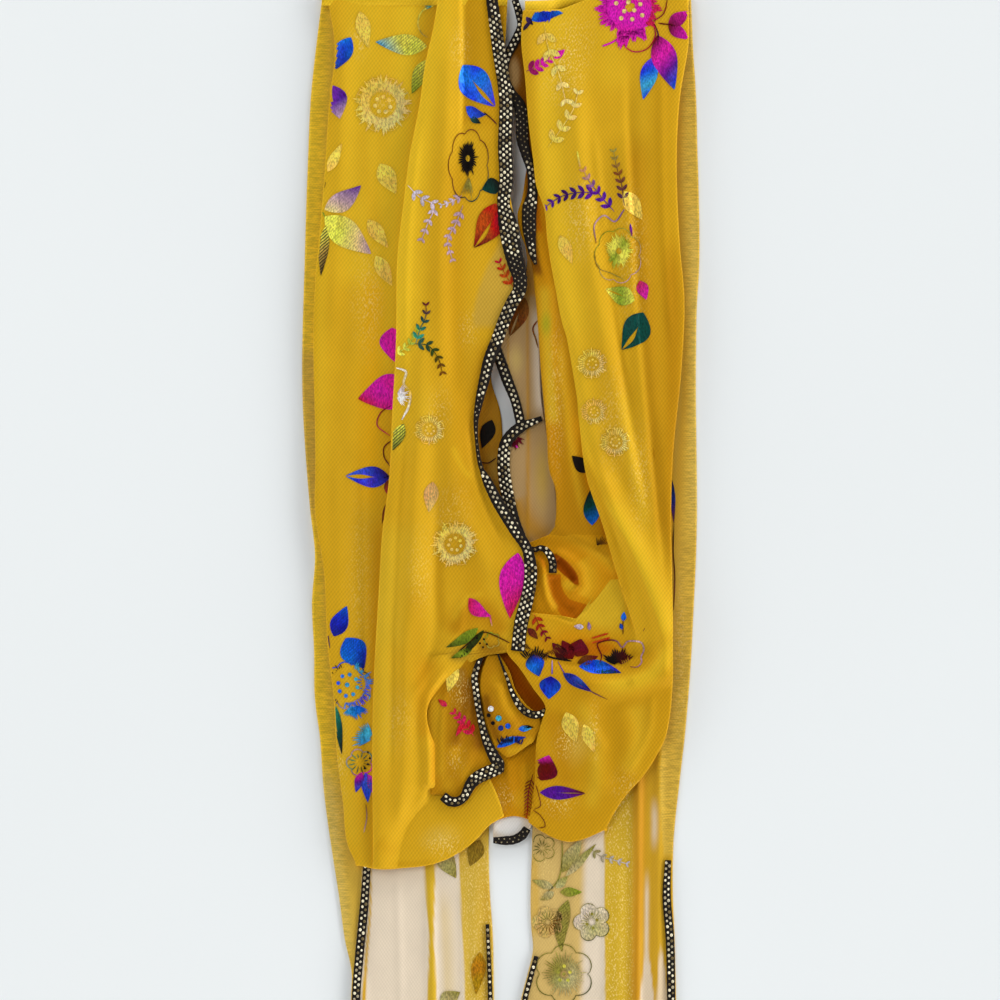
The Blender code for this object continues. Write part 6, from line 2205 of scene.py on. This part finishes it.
@dataclass
class Trim:
    """The black braid on every edge that shows."""

    nets: dict[str, Net]
    seed: int = 41

    def hosts(self, *names: str) -> tuple[Net, ...]:
        """Some stretches of net by name."""
        return tuple(self.nets[name] for name in names)

    def braids(self) -> tuple[Braid, ...]:
        """Every stretch of braid."""
        left, right = self.hosts("net_tail_left"), self.hosts("net_tail_right")
        middle = self.hosts("net_inner_sheer", "net_inner_recess", "net_hem_patch")
        return (
            Braid("braid_tail_left_outer",
                ((-66, 426, 3.6), (-68, 454, 4.4), (-70.3, 478, 4.4), (-72, 500, 4.2), (-71, 530, 4),
                    (-71.6, 564.4, 4)),
                left, 0.9),
            Braid("braid_tail_left_inner", ((-6.3, 462, 1.8), (-4.8, 500, 2.4), (-3.8, 564.4, 2.4)), left,
                0.9),
            Braid("braid_tail_right_inner",
                ((18.2, 478, 2.2), (16, 486, 2.6), (12.4, 500, 2.8), (10.8, 530, 2.6), (9.8, 564.4, 2.6)),
                right, 0.9),
            Braid("braid_tail_right_outer",
                ((84, 430, 3), (83.3, 448, 4.2), (84.8, 467, 4.4), (85.6, 500, 4.2), (86, 564.4, 4)), right,
                0.9),
            Braid("braid_hem",
                ((-3.4, 420, 3), (2.1, 420.2, 4.4), (7.4, 419.6, 4.6), (11.4, 417.2, 4.8), (13.6, 414, 4)),
                (*left, *right, *middle), 2.6, turned=((410, 425),)),
            Braid("braid_inner_edge",
                ((-3, 172, 5.4), (0, 180, 5.4), (3.6, 190, 5.6), (7.5, 200, 4.8), (10.4, 212, 4.8)), middle,
                3.9),
            Braid("braid_inner_return",
                ((20.9, 209.2, 2.6), (16.3, 211, 3.4), (10.2, 213.7, 5.6), (6.3, 216.8, 5.8), (3.2, 221, 6),
                    (1.8, 229, 6.3), (2.4, 240, 6.3), (4.3, 250, 6.2), (6.8, 260, 6), (11, 270, 5)),
                middle, 4.2),
            Braid("braid_right_front",
                ((7.4, 0, 3.4), (9.8, 8, 4), (10.5, 12.5, 3.6), (9.2, 17.5, 4.6), (6.6, 22.5, 4.6),
                    (3.4, 29, 4), (2.4, 38, 4), (5.4, 46, 4.4), (9.8, 53, 6), (11, 60, 6.4),
                    (11.3, 70, 6.2), (13, 77, 5.2), (15.4, 85, 4.4), (16.2, 92, 4.6), (16, 98, 5.4),
                    (14.8, 104, 7.4), (14.6, 114, 7), (15.4, 122, 5.2), (16.5, 128, 3.4),
                    (17.8, 132.4, 1.4)),
                self.hosts("net_inner_right", "net_tail_right", "net_inner_sheer"), 5.2,
                turned=((48, 80), (103, 122))),
            Braid("braid_hook",
                ((14.6, 274.4, 2.8), (17.6, 274.7, 2.6), (20.2, 273.9, 2.8), (22.8, 275, 3.2),
                    (25, 277.8, 3.8), (26.2, 281, 4), (26.3, 286.4, 3.8)),
                self.hosts("net_swirl", "net_inner_right"), 5.2),
            Braid("braid_pocket",
                ((-1.4, 326, 0.9), (1.2, 333, 1.1), (3.7, 339.4, 1.7), (5.9, 345.8, 2.6), (9.3, 352, 3.4),
                    (13, 355.8, 3.8), (17.4, 357.3, 4), (20.7, 356.6, 3.6), (23.2, 355, 3)),
                self.hosts("net_pocket_fold", "net_inner_recess"), 5.2),
            Braid("braid_flap_side",
                ((-9.4, 328.5, 2.4), (-11.6, 333.5, 3), (-12.8, 339, 3.2), (-12.1, 345, 3.2),
                    (-10.2, 357, 3.2), (-8.5, 364.4, 3.6), (-6.3, 371.5, 4.6), (-3.4, 377.4, 5.6),
                    (-0.9, 382.4, 6.4), (-1.4, 385.4, 6.4)),
                self.hosts("net_flap_left", "net_pocket_fold"), 5.2, turned=((380, 390),)),
            Braid("braid_flap_hem",
                ((0, 383.6, 6), (-5.8, 386, 6.8), (-10.5, 388.2, 6.6), (-14, 391, 6), (-16.2, 395, 5),
                    (-18.2, 398.6, 4.4), (-21.4, 400.6, 4.8), (-25, 400.4, 5.2), (-28.6, 397.8, 4.6)),
                self.hosts("net_flap_left", "net_swag_left"), 5.4),
            Braid("braid_left_front",
                ((-4.3, -1.5, 5.8), (-0.6, 25, 6.6), (2.8, 50, 6.6), (2.5, 75, 7), (3.1, 90, 7),
                    (1.9, 103.5, 6.3), (3.4, 110, 9), (4.9, 117.5, 9.8), (6.2, 125, 9), (8.1, 132.5, 8.4),
                    (10, 140, 7), (9.4, 146, 6.8), (7, 150, 6.6), (2.3, 160, 6.4), (-1.4, 170, 6.2),
                    (-5.4, 180, 5.8), (-7.8, 190, 5.4), (-10.2, 200, 4.2), (-12, 211, 2.4),
                    (-11.7, 220, 1.6), (-9, 235, 2.3), (-6.4, 240.5, 4.8), (-1.7, 250, 5.6),
                    (7.4, 265, 5.6), (13.5, 274.5, 5.2), (15.3, 285, 6.5), (13.4, 300, 6.6),
                    (10.8, 310, 6.9), (8.8, 325.4, 6.8)),
                self.hosts("net_panel_left", "net_pocket_fold"), 7.8, turned=((128, 146), (198, 232))))

    def build(self, wardrobe: Wardrobe) -> dict[str, Piece]:
        """The braids and their studs.

        Args:
            wardrobe: the finishes.

        Returns:
            The braids by name.
        """
        braids = self.braids()
        made = {braid.name: braid.build(wardrobe) for braid in braids}
        Studs("studs").build(braids, wardrobe, self.seed)
        return made


@dataclass
class Studio:
    """A pale floor, soft light from above and from all round, and the camera straight overhead."""

    floor_side: float = 60.0
    floor_colour: Triple = (0.845, 0.88, 0.888)
    picture_wide: float = 0.5
    picture_middle: Pair = (-0.0004, 0.0306)
    camera_height: float = 4.8
    sensor: float = 36.0
    overhead: float = 0.1
    ring: float = 4.2
    ring_lean: float = 0.5
    lamp_strength: float = 0.88
    lamp_angle: float = 35.0
    ring_low: Pair = (0.02, 0.10)
    ring_high: Pair = (0.30, 0.50)
    lamp_turn: Triple = (-24.0, -26.0, 0.0)

    def floor(self) -> None:
        """The floor."""
        half = self.floor_side / 2
        corners = [(-half, -half, 0), (half, -half, 0), (half, half, 0), (-half, half, 0)]
        mesh = bpy.data.meshes.new("floor")
        mesh.from_pydata(corners, [], [(0, 1, 2, 3)])
        n = Nodes(bpy.data.materials.new("pale_floor"))
        colour = n.tree.nodes.new("ShaderNodeRGB")
        colour.outputs[0].default_value = (*self.floor_colour, 1.0)
        tone = n.span(n.noise((3, 3, 3)), 0.3, 0.7, 0.992, 1.008)
        n.link(n.dim(colour.outputs["Color"], tone), n.shader.inputs["Base Color"])
        n.constant(Roughness=1.0, Specular_IOR_Level=0.0)
        made = bpy.data.objects.new("floor", mesh)
        made.data.materials.append(n.owner)
        bpy.context.scene.collection.objects.link(made)

    def light(self) -> None:
        """The world: overhead + ring * a band low over the floor * (1 + lean * x), and one wide soft lamp."""
        world = bpy.data.worlds.new("studio")
        n = Nodes(world)
        split = n.tree.nodes.new("ShaderNodeSeparateXYZ")
        n.link(n.tree.nodes.new("ShaderNodeTexCoord").outputs["Generated"], split.inputs["Vector"])
        low = n.span(split.outputs["Z"], *self.ring_low, 0.0, self.ring)
        high = n.span(split.outputs["Z"], *self.ring_high, 1.0, 0.0)
        lean = n.span(split.outputs["X"], -1.0, 1.0, 1 - self.ring_lean, 1 + self.ring_lean)
        band = n.maths("MULTIPLY", n.maths("MULTIPLY", low, high), lean)
        n.link(n.maths("ADD", band, self.overhead), n.shader.inputs["Strength"])
        n.shader.inputs["Color"].default_value = (1.0, 1.0, 1.0, 1.0)
        bpy.context.scene.world = world
        lamp = bpy.data.lights.new("soft_lamp", "SUN")
        lamp.angle = math.radians(self.lamp_angle)
        lamp.energy = self.lamp_strength
        placed = bpy.data.objects.new("soft_lamp", lamp)
        placed.rotation_euler = tuple(math.radians(turn) for turn in self.lamp_turn)
        bpy.context.scene.collection.objects.link(placed)

    def camera(self) -> None:
        """The camera, far enough that the picture is nearly without perspective."""
        lens = bpy.data.cameras.new("overhead")
        lens.sensor_width = self.sensor
        lens.lens = self.sensor * self.camera_height / self.picture_wide
        lens.clip_end = 100.0
        placed = bpy.data.objects.new("overhead", lens)
        placed.location = (*self.picture_middle, self.camera_height)
        bpy.context.scene.collection.objects.link(placed)
        bpy.context.scene.camera = placed

    def build(self) -> None:
        """The whole studio."""
        self.floor()
        self.light()
        self.camera()
        bpy.context.scene.view_settings.view_transform = "Standard"


def corners(box: tuple) -> list[list[float]]:
    """The lowest and highest corner of a box as plain numbers."""
    return [[float(number) for number in corner] for corner in box]


def main() -> None:
    """Builds the scarf from the surface upwards, then the prints, the braid and the studio."""
    logging.basicConfig(level=logging.INFO, format="%(name)s %(message)s")
    Studio().build()
    wardrobe = Wardrobe()
    tails, left, right, middle = LooseTails(), LeftRun(), RightRun(), Middle()
    under, flap, deep, front = left.under(), left.flap(), right.deep(), right.panel()
    stretches = (
        tails.left(), tails.right(), middle.sheer(), middle.recess(), middle.patch(), under, deep, flap,
        middle.pocket(), middle.swirl(deep), left.panel(under, flap), front, right.lobe(front))
    nets = {net.name: net for net in stretches}
    made = {net.name: net.build(wardrobe) for net in stretches}
    top = DoubledTop()
    turns = top.build(
        (nets["net_swag_left"], nets["net_panel_left"]), (nets["net_inner_right"], nets["net_panel_right"]),
        wardrobe)
    HiddenFolds().build(wardrobe)
    Prints(nets).build(wardrobe)
    braids = Trim(nets).build(wardrobe)
    carried = {
        "net_tail_left": ("braid_tail_left_outer", "braid_tail_left_inner"),
        "net_tail_right": ("braid_tail_right_inner", "braid_tail_right_outer"),
        "net_hem_patch": ("braid_hem",),
        "net_inner_sheer": ("braid_inner_edge", "braid_inner_return"),
        "net_inner_right": ("braid_right_front",),
        "net_swirl": ("braid_hook",),
        "net_pocket_fold": ("braid_pocket",),
        "net_flap_left": ("braid_flap_side", "braid_flap_hem"),
        "net_panel_left": ("braid_left_front",),
    }
    for name, net in nets.items():
        net.declare(made[name], tuple(braids[braid] for braid in carried.get(name, ())))


if __name__ == "__main__":
    main()
